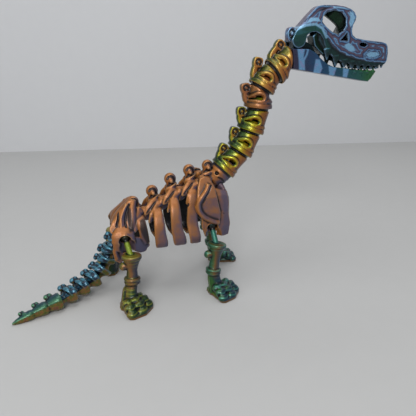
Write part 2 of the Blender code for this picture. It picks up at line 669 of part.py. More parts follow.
def chest():
    """Front of the trunk: neck stub, spine, shoulder blades, breast and sockets."""
    ahead = lean_vector(NECK_LEAN[0])
    ball = Vector(side(NECK_BALLS[0]))
    mass = [cylinder(tuple(ball - ahead * 15.0), tuple(ball - ahead * 5.0), 8.6, 10.0, sides=16),
            cylinder(side((79.0, 95.5)), side((69.0, 92.8)), 7.6, 5.6, sides=14),
            *spine((72.5, 96.0), (73.6, 115.0), 5.1)]
    blade = bend(plate(BLADE, -1.9, 1.9), BLADE_LEVELS, blade_depth)
    wall_outline = [(63.2, 96.0), (85.8, 91.0), (87.4, 80.0), (86.6, 74.6), (88.6, 62.0),
                    (87.6, 50.8), (84.0, 49.4), (66.4, 49.6), (62.8, 60.0), (62.4, 76.0)]
    flank = plate(wall_outline, -2.0, 2.0)
    bend(flank, (56, 66, 76, 86),
         lambda z: -ramp(z, [(49, 18.6), (60, 19.8), (76, 20.2), (88, 18.8), (96, 15.0)]))
    shoulder = sweep([(70.0, -2.0, 96.0), (69.0, -9.0, 99.0), (68.0, -15.0, 98.0),
                      (67.6, -19.0, 92.0)], [5.4, 5.8, 5.6, 4.6], [4.0, 3.6, 3.4, 2.4],
                     (1.0, 0.0, 0.0), 10)
    breast = sweep([(84.8, -18.4, 69.0), (87.6, -13.0, 68.0), (89.0, -6.0, 66.0),
                    (89.4, 1.0, 65.6)], [17.0, 16.6, 16.0, 15.8], [2.6, 2.4, 2.3, 2.3],
                   (0.0, 0.0, 1.0), 10, 4.0)
    collar = sweep([(83.0, -17.4, 86.0), (84.8, -11.0, 87.0), (83.0, -5.0, 91.0),
                    (82.0, 0.0, 93.0)], [5.0, 5.0, 5.0, 5.0], [2.4, 2.6, 3.4, 3.4],
                   (0.0, 0.0, 1.0), 8)
    last_rib = sweep([(67.6, -4.0, 92.0), (67.6, -12.0, 92.6), (67.4, -18.0, 88.0),
                      (66.8, -20.4, 78.0), (67.4, -20.4, 62.0), (68.8, -19.6, 51.4)],
                     [3.0, 3.4, 3.4, 3.0, 3.0, 2.6], [2.4, 2.4, 2.0, 1.8, 1.8, 1.6],
                     (1.0, 0.0, 0.0), 8, 3.0)
    boss = sphere(LEGS["leg_fore_right"][0], LEG_SOCKET_R + 1.9, sides=14, rings=10)
    mass += both([blade, flank, shoulder, breast, collar, last_rib, boss])
    body = melt(mass, 0.9, 760)
    dome = loft([round_ring(ball - ahead * 9.0, ahead, 8.8, NECK_SIDES),
                 round_ring(ball - ahead * 5.6, ahead, NECK_WAIST_R - 0.1, NECK_SIDES)]
                + dome_rings(ball, ahead, NECK_BALL_R, [-1.4, 3.4, 7.4], NECK_SIDES))
    unite([body, dome, trunk_cup(0, (71.0, 93.6))])
    cut(body, [trunk_hollow(0, (71.0, 93.6)), *sockets("fore")])
    return finish(body, "chest", side(NECK_BALLS[0]), COPPER, 0.25, 0.45)


def sockets(end):
    """Cutters for a pair of leg sockets: a round hollow and its way out."""
    out = []
    for hand in ("right", "left"):
        ball, shape, turn = LEGS["leg_%s_%s" % (end, hand)]
        mark = leg_point(hand, ball, shape[0], turn)
        centre = Vector(ball)
        way = (mark - centre).normalized()
        out.append(sphere(ball, LEG_SOCKET_R, sides=10, rings=8, axis=tuple(way)))
        out.append(cylinder(tuple(centre + way * 2.4), tuple(centre + way * 11.0), 3.9, 8.8,
                            sides=10))
        out.append(cylinder(tuple(centre + way * 7.0), tuple(centre + way * 17.0), 6.2, 7.6,
                            sides=10))
    return out


def pelvis():
    """Hips: sacrum, spine, two blades with leg sockets, pubis and tail ball."""
    mass = [sweep([(9.5, 0.0, 67.6), (2.0, 0.0, 66.0), (-4.0, 0.0, 60.0), (-7.0, 0.0, 54.0)],
                  [5.0, 6.4, 6.4, 5.0], [5.0, 6.0, 6.0, 4.6], (0.0, 1.0, 0.0), 12),
            *spine((3.0, 70.0), (8.0, 86.6), 4.8)]
    ilium_outline = [(5.4, 85.8), (1.6, 84.4), (-6.4, 77.0), (-12.8, 70.2), (-15.8, 64.8),
                     (-15.0, 61.6), (-11.2, 60.0), (-13.4, 52.0), (-14.6, 45.0), (-13.4, 36.6),
                     (-9.4, 33.2), (-4.6, 36.4), (-1.6, 44.6), (0.4, 52.0), (1.4, 60.0),
                     (3.0, 68.0), (4.4, 76.0)]
    ilium = plate(ilium_outline, -2.1, 2.1)
    bend(ilium, (40, 46, 52, 58, 64, 70, 76, 80),
         lambda z: -ramp(z, [(33, 17.2), (44, 18.4), (56, 18.4), (66, 14.6), (76, 8.2), (86, 3.2)]))
    crest = sweep([(6.4, -3.0, 84.0), (4.6, -8.4, 78.0), (4.0, -13.0, 70.0), (2.0, -17.0, 60.0)],
                  [3.0, 3.4, 3.6, 3.2], [2.6, 2.8, 2.8, 2.4], (1.0, 0.0, 0.0), 8)
    bridge = sweep([(-2.0, 0.0, 64.0), (-3.0, -8.0, 64.0), (-5.0, -15.0, 62.0)],
                   [7.0, 6.6, 6.0], [4.6, 4.0, 3.2], (1.0, 0.0, 0.0), 10)
    boss = sphere(LEGS["leg_hind_right"][0], LEG_SOCKET_R + 1.8, sides=14, rings=10)
    pubis = sweep([(-1.0, -18.2, 53.6), (5.0, -17.4, 49.8), (10.8, -15.6, 46.4),
                   (15.0, -13.6, 45.0)], [4.4, 6.4, 6.8, 4.4], [2.0, 2.0, 1.9, 1.7],
                  (0.0, 0.0, 1.0), 8, 3.0)
    share = sweep([(14.4, -14.6, 45.4), (14.8, -9.0, 44.0), (14.4, -4.0, 43.4),
                   (14.4, 0.5, 43.2)], [3.0, 3.2, 3.2, 3.2], [1.8, 1.8, 1.8, 1.8],
                  (1.0, 0.0, 0.0), 8)
    band = sweep([(10.0, -3.6, 69.6), (10.6, -11.0, 70.6), (11.4, -16.2, 66.0),
                  (12.6, -17.4, 58.0), (14.0, -15.4, 48.0)],
                 [3.4, 3.8, 3.9, 3.9, 3.6], [2.2, 2.0, 1.7, 1.5, 1.6], (1.0, 0.0, 0.0), 8, 3.0)
    mass += both([ilium, crest, bridge, boss, pubis, share, band])
    body = melt(mass, 0.9, 720)
    cut(body, trunk_room(3))
    start = Vector(TAIL_BALLS[0])
    ahead = (start - Vector(TAIL_BALLS[1])).normalized()
    hub = cylinder(tuple(start + ahead * 11.0), tuple(start), 4.6, 3.4, sides=10)
    knob = sphere(tuple(start), TAIL_BALL_R, sides=12, rings=8, axis=tuple(ahead))
    unite([body, hub, knob, *trunk_ball(3, (8.2, 66.8))])
    cut(body, sockets("hind"))
    return finish(body, "pelvis", side(TRUNK_BALLS[3]), COPPER, 0.25, 0.45)


# ---------------------------------------------------------------------- tail
def belly_ring(centre, along, dorsal, radius, sides, floor=0.80, bevel=1.20, crown=TAIL_CROWN):
    """A round section with a flat belly and slanted lower corners."""
    along = Vector(along).normalized()
    dorsal = (Vector(dorsal) - along * Vector(dorsal).dot(along)).normalized()
    across = dorsal.cross(along)
    out = []
    for k in range(sides):
        a = 2 * math.pi * (k + 0.5) / sides
        s = math.cos(a) * radius
        d = math.sin(a) * radius * (crown if math.sin(a) > 0.0 else 1.0)
        if d < 0.0:
            spill = abs(s) - d - bevel * radius
            if spill > 0.0:
                s -= math.copysign(spill / 2, s)
                d += spill / 2
            d = max(d, -floor * radius)
        out.append(tuple(Vector(centre) + across * s + dorsal * d))
    return out


def tail_dorsal(along, index):
    """The way a tail piece's spine points: up, then rolled away to the left."""
    lift = Vector((-0.55, 0.0, 1.0)) if along.z < -0.5 else Vector((0.0, 0.0, 1.0))
    straight = (lift - along * lift.dot(along)).normalized()
    across = straight.cross(along)
    if across.y < 0.0:
        across = -across
    roll = math.radians(TAIL_ROLL[index])
    return straight * math.cos(roll) + across * math.sin(roll)


def tail_link(index):
    """A flared link: socket towards the hips, ball towards the tip."""
    low = Vector(TAIL_BALLS[index])
    high = Vector(TAIL_BALLS[index + 1])
    along = (high - low).normalized()
    length = (high - low).length
    dorsal = tail_dorsal(along, index)
    flare = TAIL_FLARE[index]
    sides = TAIL_SIDES
    shape = [(-1.0, 0.96), (1.0, 1.0), (2.8, 0.94), (length - 6.4, 0.70), (length - 4.4, 0.50)]
    rings = [belly_ring(low + along * z, along, dorsal, flare * r, sides) for z, r in shape]
    for h in (-2.2, 0.6, 3.2):
        level = math.sqrt(TAIL_BALL_R ** 2 - h * h)
        rings.append(belly_ring(high + along * h, along, dorsal, level, sides, 1.1, 1.5, 1.0))
    link = loft(rings)
    foot = low + along * (length * 0.34)
    reach = flare + 1.4
    stalk = sweep([foot + dorsal * (flare * 0.5), foot + dorsal * (reach - 2.4) + along * 0.8],
                  [3.3, 2.6], [2.8, 2.3], dorsal.cross(along), 6)
    knob = sphere(tuple(foot + dorsal * (reach - 2.2) + along * 1.0), 3.2, (1.0, 1.0, 0.86), 8, 5,
                  tuple(dorsal))
    unite([link, stalk, knob])
    hollow = loft([round_ring(low + along * h, along,
                              math.sqrt(max(TAIL_SOCKET_R ** 2 - h * h, 1.0)) if h > -2.0
                              else TAIL_SOCKET_R, 12)
                   for h in (-3.0, 0.0, 3.2, 5.3)])
    cut(link, [hollow])
    if index >= 4:
        cut(link, [box((-110.0, -70.0, -12.0), (110.0, 70.0, 0.0))])
    return finish(link, "tail_%d" % (index + 1), tuple(low), NAVY, 0.6, 0.3)


def tail_tip():
    """The pointed end: three fused flares on one flat belly."""
    low = Vector(TAIL_BALLS[-1])
    high = Vector(TAIL_TIP)
    along = (high - low).normalized()
    dorsal = tail_dorsal(along, 7)
    length = (high - low).length
    shape = [(-1.0, TAIL_END_R * 0.96), (1.6, TAIL_END_R), (4.2, 8.2), (10.2, 5.6), (12.4, 6.9),
             (15.0, 6.6), (22.2, 4.4), (24.2, 5.2), (27.0, 4.8), (35.0, 2.7), (length, 0.9)]
    rings = [belly_ring(low + along * z, along, dorsal, r, 12) for z, r in shape]
    tip = loft(rings)
    for z, r, tall in ((6.0, 3.1, 9.6), (17.3, 2.6, 7.8), (29.0, 2.2, 6.2)):
        foot = low + along * z
        unite([tip, cylinder(tuple(foot), tuple(foot + dorsal * (tall - 1.0) + along * 0.6),
                             r + 0.7, r - 0.3, sides=8),
               sphere(tuple(foot + dorsal * (tall - 1.6) + along * 0.6), r, sides=8, rings=5)])
    hollow = loft([round_ring(low + along * h, along,
                              math.sqrt(max(TAIL_SOCKET_R ** 2 - h * h, 1.0)) if h > -2.0
                              else TAIL_SOCKET_R, 12)
                   for h in (-3.0, 0.0, 3.2, 5.3)])
    cut(tip, [hollow, box((-110.0, -70.0, -12.0), (110.0, 70.0, 0.0))])
    return finish(tip, "tail_tip", TAIL_BALLS[-1], GREEN, 0.6, 0.3)


# ---------------------------------------------------------------------- legs
def leg_point(hand, ball, offset, turn):
    """A point of a leg's drawing, mirrored for the left and turned on its ball."""
    x, y, z = offset
    if hand == "left":
        y = -y
    a = math.radians(turn)
    return Vector(ball) + Vector((x * math.cos(a) - y * math.sin(a),
                                  x * math.sin(a) + y * math.cos(a), z))


def leg(name, colour):
    """A leg: ball and rod, cupped disk, shaft, knee ring, shank and foot."""
    ball, shape, turn = LEGS[name]
    hand = name.split("_")[-1]
    swing = -1.0 if hand == "left" else 1.0
    disk, knee, toes = [leg_point(hand, ball, p, turn) for p in shape[:3]]
    heading = swing * shape[3] + turn
    aim = Vector((math.cos(math.radians(heading)), math.sin(math.radians(heading)), 0.0))
    left = Vector((-aim.y, aim.x, 0.0)) * swing
    back = Vector((-math.cos(math.radians(turn)), -math.sin(math.radians(turn)), 0.0))
    up = Vector((0.0, 0.0, 1.0))
    down = (knee - disk).normalized()
    cap = disk - down * 1.4
    mass = [cylinder(tuple(cap - down * 1.8), tuple(cap + down * 1.4), DISK_R - 0.9, DISK_R,
                     sides=16),
            cylinder(tuple(cap + down * 1.3), tuple(cap + down * 7.6), DISK_R, 5.4, sides=16)]
    middle = (disk + knee) / 2
    mass.append(sweep([disk, disk + down * 5.0, middle + down * 1.0, knee - down * 3.4, knee],
                      [6.0, 5.6, 4.9, 5.2, 6.0], [6.0, 5.6, 4.9, 5.2, 6.0], (0.0, 1.0, 0.0), 12))
    mass.append(sphere(tuple(disk + down * 6.4 + back * 7.0), 3.6))
    mass.append(sphere(tuple(disk + down * 5.4 + back * 4.2), 3.6))
    mass.append(cylinder(tuple(knee - down * 2.0), tuple(knee + down * 1.8), 7.3, 6.9, sides=14))
    heel = toes - aim * 17.0
    heel.z = 0.0
    middle = (knee + heel) / 2 + up * 2.6 + back * 1.0
    shank = [ring_at(knee, up, aim, 5.4, 5.2, 12),
             ring_at(knee * 0.7 + middle * 0.3, up, aim, 5.6, 4.8, 12),
             ring_at(middle, up, aim, 6.6, 5.2, 12),
             ring_at(heel + up * 5.0, up, aim, 8.4, 6.6, 12),
             ring_at(heel - up * 1.5, up, aim, 9.2, 7.6, 12)]
    mass.append(loft(shank))
    floor = Vector((toes.x, toes.y, 0.0))
    sole = []
    for level, grow in ((-1.5, 0.0), (3.4, -0.5)):
        row = []
        for u, v in ((-26.4, -3.4), (-13.0, -9.4), (-3.4, -12.6), (-0.6, -11.0), (2.4, 0.0),
                     (-0.6, 11.0), (-3.4, 12.6), (-13.0, 9.4), (-26.4, 3.4)):
            row.append(tuple(floor + aim * (u - grow * 0.6) + left * v * (1.0 + grow * 0.06)
                             + up * level))
        sole.append(row)
    if swing < 0:
        sole = [list(reversed(row)) for row in sole]
    mass.append(loft(sole))
    for v, ahead, spread in ((-9.3, -4.4, -22.0), (0.0, -1.6, 0.0), (9.3, -4.4, 22.0)):
        a = math.radians(spread)
        way = aim * math.cos(a) + left * math.sin(a)
        tip = floor + aim * ahead + left * v
        mass.append(sphere(tuple(tip - way * 8.6 + up * 8.0), 4.5))
        mass.append(sphere(tuple(tip - way * 4.0 + up * 6.2), 4.6))
        mass.append(sphere(tuple(tip + up * 2.6), 4.3))
    body = melt(mass, 0.8, 400)
    cut(body, [box((-150.0, -120.0, -20.0), (250.0, 120.0, 0.0))])
    unite([body, cylinder(tuple(disk), tuple(ball), LEG_ROD_R + 0.2, LEG_ROD_R, sides=8),
           sphere(tuple(ball), LEG_BALL_R, sides=8, rings=6, axis=tuple(disk - Vector(ball)))])
    return finish(body, name, tuple(ball), colour, 0.5, 0.34)


# --------------------------------------------------------------------- build
def main():
    for item in list(bpy.data.objects):
        bpy.data.objects.remove(item)
    home = bpy.data.collections.new("dinosaur_skeleton")
    bpy.context.scene.collection.children.link(home)
    skull()
    jaw()
    for index in range(len(NECK_BALLS)):
        neck_link(index)
    chest()
    for index in range(3):
        rib_link(index)
    pelvis()
    for index in range(7):
        tail_link(index)
    tail_tip()
    leg("leg_fore_right", TEAL)
    leg("leg_fore_left", TEAL)
    leg("leg_hind_right", OLIVE)
    leg("leg_hind_left", OLIVE)


main()
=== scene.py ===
"""Articulated long-necked dinosaur skeleton, a print-in-place toy in silk filament."""

import math

import bmesh
import bpy
import numpy as np
from mathutils import Matrix, Vector


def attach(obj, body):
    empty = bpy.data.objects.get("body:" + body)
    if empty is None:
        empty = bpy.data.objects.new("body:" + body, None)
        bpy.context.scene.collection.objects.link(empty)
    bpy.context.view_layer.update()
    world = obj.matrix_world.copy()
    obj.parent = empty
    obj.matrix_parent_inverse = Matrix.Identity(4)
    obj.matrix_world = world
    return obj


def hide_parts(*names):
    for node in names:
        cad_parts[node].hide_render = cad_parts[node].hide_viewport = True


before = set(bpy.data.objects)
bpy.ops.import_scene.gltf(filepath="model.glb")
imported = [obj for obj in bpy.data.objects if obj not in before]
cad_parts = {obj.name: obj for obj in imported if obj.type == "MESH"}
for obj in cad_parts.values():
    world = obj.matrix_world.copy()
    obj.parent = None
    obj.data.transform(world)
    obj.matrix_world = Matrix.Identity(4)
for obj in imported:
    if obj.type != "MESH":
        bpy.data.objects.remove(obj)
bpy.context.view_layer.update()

bl_info = {
    "name": "Printed dinosaur skeleton",
    "version": (1, 0, 0),
    "blender": (4, 5, 0),
    "location": "View3D > Sidebar > Skeleton",
    "description": "Builds the fine surface and the silk filament finish of a jointed toy skeleton",
    "category": "Add Mesh",
}

MM = 0.001

# ---- plan of the toy
# Millimetres, in the drawing's own frame: +X to the head, +Y to the animal's
# left, +Z up, the hips over X = 0.  The centre below takes it to the frame.
CENTRE_X = 70.31
CENTRE_Y = -3.23

NECK_BALLS = [(88.4, 106.6), (103.5, 122.4), (112.8, 140.2), (119.0, 160.1),
              (121.9, 176.3), (133.4, 188.7)]
NECK_LEAN = [47.0, 57.0, 71.0, 84.0, 59.0, 37.0]
NECK_HOOKS = [(12.9, 12.8), (10.7, 13.8), (11.8, 14.0), (13.8, 13.8), (14.3, 14.3),
              (14.6, 15.0)]
NECK_EYES = [(8.2, 1.2), (7.0, 2.0), (7.6, 2.2), (7.2, 3.4), (6.4, 3.2), (6.0, 4.2)]
NECK_BALL_R = 10.8
NECK_SOCKET_R = 11.6
NECK_WAIST_R = 10.5

HEAD_BALL = (151.5, 199.4)
HEAD_BALL_R = 6.2
HEAD_SOCKET_R = 6.9
SKULL_PIN = (150.2, 213.4)
PIN_R = 1.7
LOBE_R = 6.3
SKULL_HALF = 9.0

TRUNK_BALLS = [(64.5, 91.5), (47.6, 86.0), (31.0, 78.6), (16.0, 70.0)]
TRUNK_BALL_R = 4.0
TRUNK_SOCKET_R = 5.2
TRUNK_CUP_R = 6.6
SPINE_TIPS = [(56.2, 112.0), (39.0, 105.4), (22.6, 95.6)]
RIB_HALF = 23.0
RIB_FLOOR = 43.0
RIB_FEET = [(54.3, 58.0), (40.0, 44.6), (25.8, 27.8)]
RIB_WIDE = [5.1, 5.9, 5.6]
RIB_SHIFT = [-0.8, -0.8, 1.0]
RIB_TUCK = [3.4, 0.0, 0.0]

TAIL_BALLS = [(-8.5, 1.0, 50.5), (-14.8, 0.8, 41.4), (-19.0, 0.0, 31.4),
              (-23.8, -1.8, 22.2), (-31.4, -5.0, 15.2), (-41.2, -10.4, 11.2),
              (-51.2, -16.8, 9.2), (-61.4, -23.4, 7.6)]
TAIL_TIP = (-96.8, -38.6, 1.2)
TAIL_FLARE = [9.4, 10.0, 10.4, 10.6, 10.5, 10.2, 9.7]
# How far along each tail link its spine stands, as a share of the link, and its thickness.
TAIL_SPINE_AT = [0.34, 0.34, 0.24, 0.34, 0.34, 0.34, 0.34]
TAIL_SPINE_R = [3.4, 3.4, 2.8, 3.4, 3.4, 3.4, 3.4]
# How far each tail piece is rolled from upright, so that its flat belly looks to one side.
TAIL_ROLL = [8.0, 14.0, 22.0, 30.0, 36.0, 40.0, 42.0, 42.0]
# Width, belly, slanted corners and crown of a tail section, as shares of its radius.
TAIL_SHAPE = (0.80, 1.20, 0.82)
TAIL_BALL_R = 4.7
TAIL_SOCKET_R = 5.7

FORE_LEG = ((1.3, -12.6, -16.0), (-2.2, -14.4, -38.4), (12.2, -28.6, -60.0), -50.0)
FORE_LEG_AHEAD = ((1.3, -12.6, -16.0), (2.4, -17.6, -38.4), (18.2, -34.6, -60.0), -50.0)
HIND_LEG = ((3.7, -13.8, -13.8), (2.9, -15.6, -33.2), (9.8, -33.4, -56.5), -52.0)
LEGS = {
    "leg_fore_right": ((72.6, -17.0, 60.0), FORE_LEG, 0.0),
    "leg_hind_right": ((-3.6, -17.0, 56.5), HIND_LEG, 0.0),
    "leg_fore_left": ((72.6, 17.0, 60.0), FORE_LEG_AHEAD, -39.0),
    "leg_hind_left": ((-3.6, 17.0, 56.5), HIND_LEG, 44.0),
}
LEG_BALL_R = 4.3
LEG_SOCKET_R = 5.4
LEG_ROD_R = 2.3
DISK_R = 8.5

# Fineness: the size of the cells that a fused skin is made of.
GRAIN_HEAD = 0.43
GRAIN_BODY = 0.45
SKIN_ROUNDS = 2
# A piece on the floor is pressed flat below the first height, to the second.
SOLE_BELOW = 0.35
SOLE_AT = 0.02


# ---- helpers
def metres(point):
    """A point of the plan, in metres in the frame."""
    return Vector(((point[0] - CENTRE_X) * MM, (point[1] - CENTRE_Y) * MM, point[2] * MM))


def rows_of(item, kind):
    """The places or the normals of a mesh's points, as rows of an array."""
    flat = np.empty(len(item.data.vertices) * 3)
    item.data.vertices.foreach_get(kind, flat)
    return flat.reshape(-1, 3)


def plan_points(item):
    """A mesh's points in the plan's millimetres."""
    return rows_of(item, "co") * 1000.0 + np.array((CENTRE_X, CENTRE_Y, 0.0))


def side(point):
    """A point drawn in the side view, on the middle of the toy."""
    return Vector((point[0], 0.0, point[1]))


def lean_vector(angle):
    """The direction in the side plane that rises at this angle to the front."""
    return Vector((math.cos(math.radians(angle)), 0.0, math.sin(math.radians(angle))))


FORWARD = Vector((1.0, 0.0, 0.0))
ACROSS = Vector((0.0, 1.0, 0.0))
UPWARD = Vector((0.0, 0.0, 1.0))


def knots(base, axes, rows):
    """Points at distances from a base along three directions."""
    return [sum((axis * step for axis, step in zip(axes, row)), Vector(base)) for row in rows]


def object_from(bm, name="shape"):
    """A mesh object made from a bmesh whose faces are turned outward."""
    bmesh.ops.recalc_face_normals(bm, faces=bm.faces[:])
    mesh = bpy.data.meshes.new(name)
    bm.to_mesh(mesh)
    bm.free()
    item = bpy.data.objects.new(name, mesh)
    bpy.context.scene.collection.objects.link(item)
    return item


def sphere(centre, radius, stretch=(1.0, 1.0, 1.0), axis=None):
    """A ball, or an ellipsoid along its axis."""
    bm = bmesh.new()
    bmesh.ops.create_uvsphere(bm, u_segments=28, v_segments=18, radius=radius * MM)
    bmesh.ops.scale(bm, vec=Vector(stretch), verts=bm.verts[:])
    if axis is not None:
        turn = Vector(axis).to_track_quat("Z", "Y").to_matrix().to_4x4()
        bmesh.ops.transform(bm, matrix=turn, verts=bm.verts[:])
    bmesh.ops.translate(bm, vec=metres(centre), verts=bm.verts[:])
    return object_from(bm)


def rod(start, end, radius, end_radius=None, sides=36):
    """A straight rod, or a cone when its two radii differ."""
    low = metres(start)
    high = metres(end)
    along = high - low
    bm = bmesh.new()
    bmesh.ops.create_cone(bm, cap_ends=True, segments=sides, radius1=radius * MM,
                          radius2=(radius if end_radius is None else end_radius) * MM,
                          depth=along.length)
    turn = along.to_track_quat("Z", "Y").to_matrix().to_4x4()
    bmesh.ops.transform(bm, matrix=Matrix.Translation((low + high) / 2) @ turn, verts=bm.verts[:])
    return object_from(bm)


def block(low, high):
    """A box between two corners."""
    a = metres(low)
    b = metres(high)
    bm = bmesh.new()
    bmesh.ops.create_cube(bm, size=1.0)
    bmesh.ops.scale(bm, vec=b - a, verts=bm.verts[:])
    bmesh.ops.translate(bm, vec=(a + b) / 2, verts=bm.verts[:])
    return object_from(bm)


def section(centre, along, across, width, height, power=2.0, belly=None):
    """One section of a loft: a round, squared or flat-bellied ring."""
    along = Vector(along).normalized()
    across = (Vector(across) - along * Vector(across).dot(along)).normalized()
    return (Vector(centre), across, along.cross(across), width, height, power, belly)


def turned_rings(base, along, profile, across=ACROSS):
    """Round sections along a line, from (distance, radius) pairs."""
    return [section(base + along * a, along, across, r, r) for a, r in profile]


def ball_rings(centre, along, radius, levels, across=ACROSS, straight=False):
    """Round sections of a ball; below its middle a straight one keeps its full radius."""
    profile = [(h, math.sqrt(radius ** 2 - (max(h, 0.0) if straight else h) ** 2)) for h in levels]
    return turned_rings(centre, along, profile, across)


def lay_ring(bm, spec, count):
    """Lays a circle of edges in a bmesh and shapes it to its section."""
    centre, across, up, width, height, power, belly = spec
    made = bmesh.ops.create_circle(bm, segments=count, radius=1.0)["verts"]
    for vert in made:
        c = vert.co.x
        s = vert.co.y
        if power != 2.0:
            c = math.copysign(abs(c) ** (2.0 / power), c)
            s = math.copysign(abs(s) ** (2.0 / power), s)
        if belly and s > 0.0:
            s *= belly[2]
        elif belly:
            floor, bevel = belly[:2]
            spill = abs(c) - s - bevel
            if spill > 0.0:
                c -= math.copysign(spill / 2, c)
                s += spill / 2
            s = max(s, -floor)
        vert.co = metres(centre + across * (width * c) + up * (height * s))
    return list({edge for vert in made for edge in vert.link_edges})


def loft(specs, count=40):
    """A closed solid through rings, end to end."""
    bm = bmesh.new()
    rings = [lay_ring(bm, spec, count) for spec in specs]
    for one, two in zip(rings, rings[1:]):
        bmesh.ops.bridge_loops(bm, edges=one + two)
    for end in (rings[0], rings[-1]):
        bmesh.ops.contextual_create(bm, geom=end)
    return object_from(bm)


def outline_loft(rows):
    """A closed solid through outlines that share their number of points."""
    bm = bmesh.new()
    loops = []
    for row in rows:
        spots = [bm.verts.new(metres(p)) for p in row]
        loops.append([bm.edges.new((a, b)) for a, b in zip(spots, spots[1:] + spots[:1])])
    for one, two in zip(loops, loops[1:]):
        bmesh.ops.bridge_loops(bm, edges=one + two)
    for end in (loops[0], loops[-1]):
        bmesh.ops.contextual_create(bm, geom=end)
    return object_from(bm)


def limb(path, widths, heights, across, power=2.0, count=20, steps=4):
    """A swept shape that follows a smoothed path with its own size at each point."""
    points = [Vector(p) for p in path]
    specs = []
    total = len(points) - 1
    for k in range(total * steps + 1):
        t = k / steps
        i = min(int(t), total - 1)
        f = t - i
        p0 = points[max(i - 1, 0)]
        p1 = points[i]
        p2 = points[i + 1]
        p3 = points[min(i + 2, total)]
        spot = curve_point(p0, p1, p2, p3, f)
        ahead = curve_point(p0, p1, p2, p3, min(f + 0.05, 1.0)) - curve_point(
            p0, p1, p2, p3, max(f - 0.05, 0.0))
        wide = widths[i] + (widths[i + 1] - widths[i]) * f
        tall = heights[i] + (heights[i + 1] - heights[i]) * f
        specs.append(section(spot, ahead, across, wide, tall, power))
    return loft(specs, count)


def curve_point(p0, p1, p2, p3, t):
    """A point on the smooth curve that passes through p1 and p2."""
    return 0.5 * (p1 * 2.0 + (p2 - p0) * t + (p0 * 2.0 - p1 * 5.0 + p2 * 4.0 - p3) * t * t
                  + (p1 * 3.0 - p0 - p2 * 3.0 + p3) * t * t * t)


def cord(path, radius, count=12):
    """A round bead that follows a path."""
    points = [Vector(p) for p in path]
    lead = (points[1] - points[0]).normalized()
    across = ACROSS if abs(lead.y) < 0.6 else lead.orthogonal()
    size = [radius] * len(points)
    return limb(path, size, size, across, 2.0, count, 3)


# The grooves cut into the piece in work, for the painted shade along them.
GROOVES = []


def groove(path, radius, count=8):
    """A bead to cut away; the groove it leaves gets a painted shade line along its path."""
    GROOVES.append((np.array([tuple(p) for p in path], dtype=float), radius))
    return cord(path, radius, count)


def groove_share(points, mirrored):
    """1 in the grooves that were cut into a piece and 0 away from them, for the painted shade in them.
    """
    share = np.zeros(len(points))
    spots = points.copy()
    if mirrored:
        spots[:, 1] = np.abs(spots[:, 1])
    for line, radius in GROOVES:
        if mirrored:
            line[:, 1] = np.abs(line[:, 1])
        best = np.full(len(points), 1e9)
        for a, b in zip(line[:-1], line[1:]):
            run = b - a
            t = np.clip(((spots - a) @ run) / max(run @ run, 1e-9), 0.0, 1.0)
            best = np.minimum(best, np.linalg.norm(spots - a - t[:, None] * run, axis=1))
        share = np.maximum(share, smooth(-best, -radius - 0.5, -radius - 0.05))
    GROOVES.clear()
    return share


def plate(outline, near, far):
    """A flat outline in the side view, drawn out from y = near to y = far."""
    bm = bmesh.new()
    face = bm.faces.new([bm.verts.new(metres((x, near, z))) for x, z in outline])
    grown = bmesh.ops.extrude_face_region(bm, geom=[face])["geom"]
    tops = [part for part in grown if isinstance(part, bmesh.types.BMVert)]
    bmesh.ops.translate(bm, vec=Vector((0.0, (far - near) * MM, 0.0)), verts=tops)
    return object_from(bm)


def bend(item, levels, depth):
    """Leans an upright plate in or out: depth(z) is added to its y at each level."""
    bm = bmesh.new()
    bm.from_mesh(item.data)
    for level in levels:
        bmesh.ops.bisect_plane(bm, geom=bm.verts[:] + bm.edges[:] + bm.faces[:],
                               plane_co=(0.0, 0.0, level * MM), plane_no=UPWARD)
    for vert in bm.verts:
        vert.co.y += depth(vert.co.z / MM) * MM
    bm.to_mesh(item.data)
    bm.free()
    return item


def ramp(z, steps):
    """A value read off a line through (height, value) pairs."""
    for (low, one), (high, two) in zip(steps, steps[1:]):
        if z <= high:
            return one + (two - one) * max(0.0, z - low) / (high - low)
    return steps[-1][1]


def settle(item):
    """Makes the modifiers of an object its real mesh."""
    bpy.context.view_layer.update()
    seen = item.evaluated_get(bpy.context.evaluated_depsgraph_get())
    mesh = bpy.data.meshes.new_from_object(seen)
    old = item.data
    item.modifiers.clear()
    item.data = mesh
    bpy.data.meshes.remove(old)
    return item


def gather(items):
    """Several shapes as one object whose shells still overlap."""
    bm = bmesh.new()
    for item in items:
        bm.from_mesh(item.data)
        bpy.data.objects.remove(item)
    mesh = bpy.data.meshes.new("shapes")
    bm.to_mesh(mesh)
    bm.free()
    one = bpy.data.objects.new("shapes", mesh)
    bpy.context.scene.collection.objects.link(one)
    return one


def fuse(items, grain=GRAIN_BODY, rounds=0):
    """Fuses overlapping shapes into one skin of even cells."""
    skin = gather(items)
    soft = skin.modifiers.new("soft", "REMESH")
    soft.mode = "VOXEL"
    soft.voxel_size = grain * MM
    settle(skin)
    if rounds:
        relax = skin.modifiers.new("relax", "SMOOTH")
        relax.factor = 0.5
        relax.iterations = rounds
        settle(skin)
    return skin


def boolean(item, others, operation):
    """Cuts or keeps a closed skin with closed tools, one after another."""
    for other in others:
        step = item.modifiers.new("step", "BOOLEAN")
        step.solver = "MANIFOLD"
        step.operation = operation
        step.object = other
        settle(item)
        bpy.data.objects.remove(other)
        if not item.data.polygons:
            raise RuntimeError("a cut left nothing of a piece")
    return item


def carve(item, tools):
    return boolean(item, tools, "DIFFERENCE")


def keep(item, tools):
    return boolean(item, tools, "INTERSECT")


def mirror_y(item):
    """A copy of an object, mirrored to the other side of the animal."""
    bm = bmesh.new()
    bm.from_mesh(item.data)
    bmesh.ops.scale(bm, vec=Vector((1.0, -1.0, 1.0)), verts=bm.verts[:])
    bmesh.ops.translate(bm, vec=Vector((0.0, -2.0 * CENTRE_Y * MM, 0.0)), verts=bm.verts[:])
    return object_from(bm)


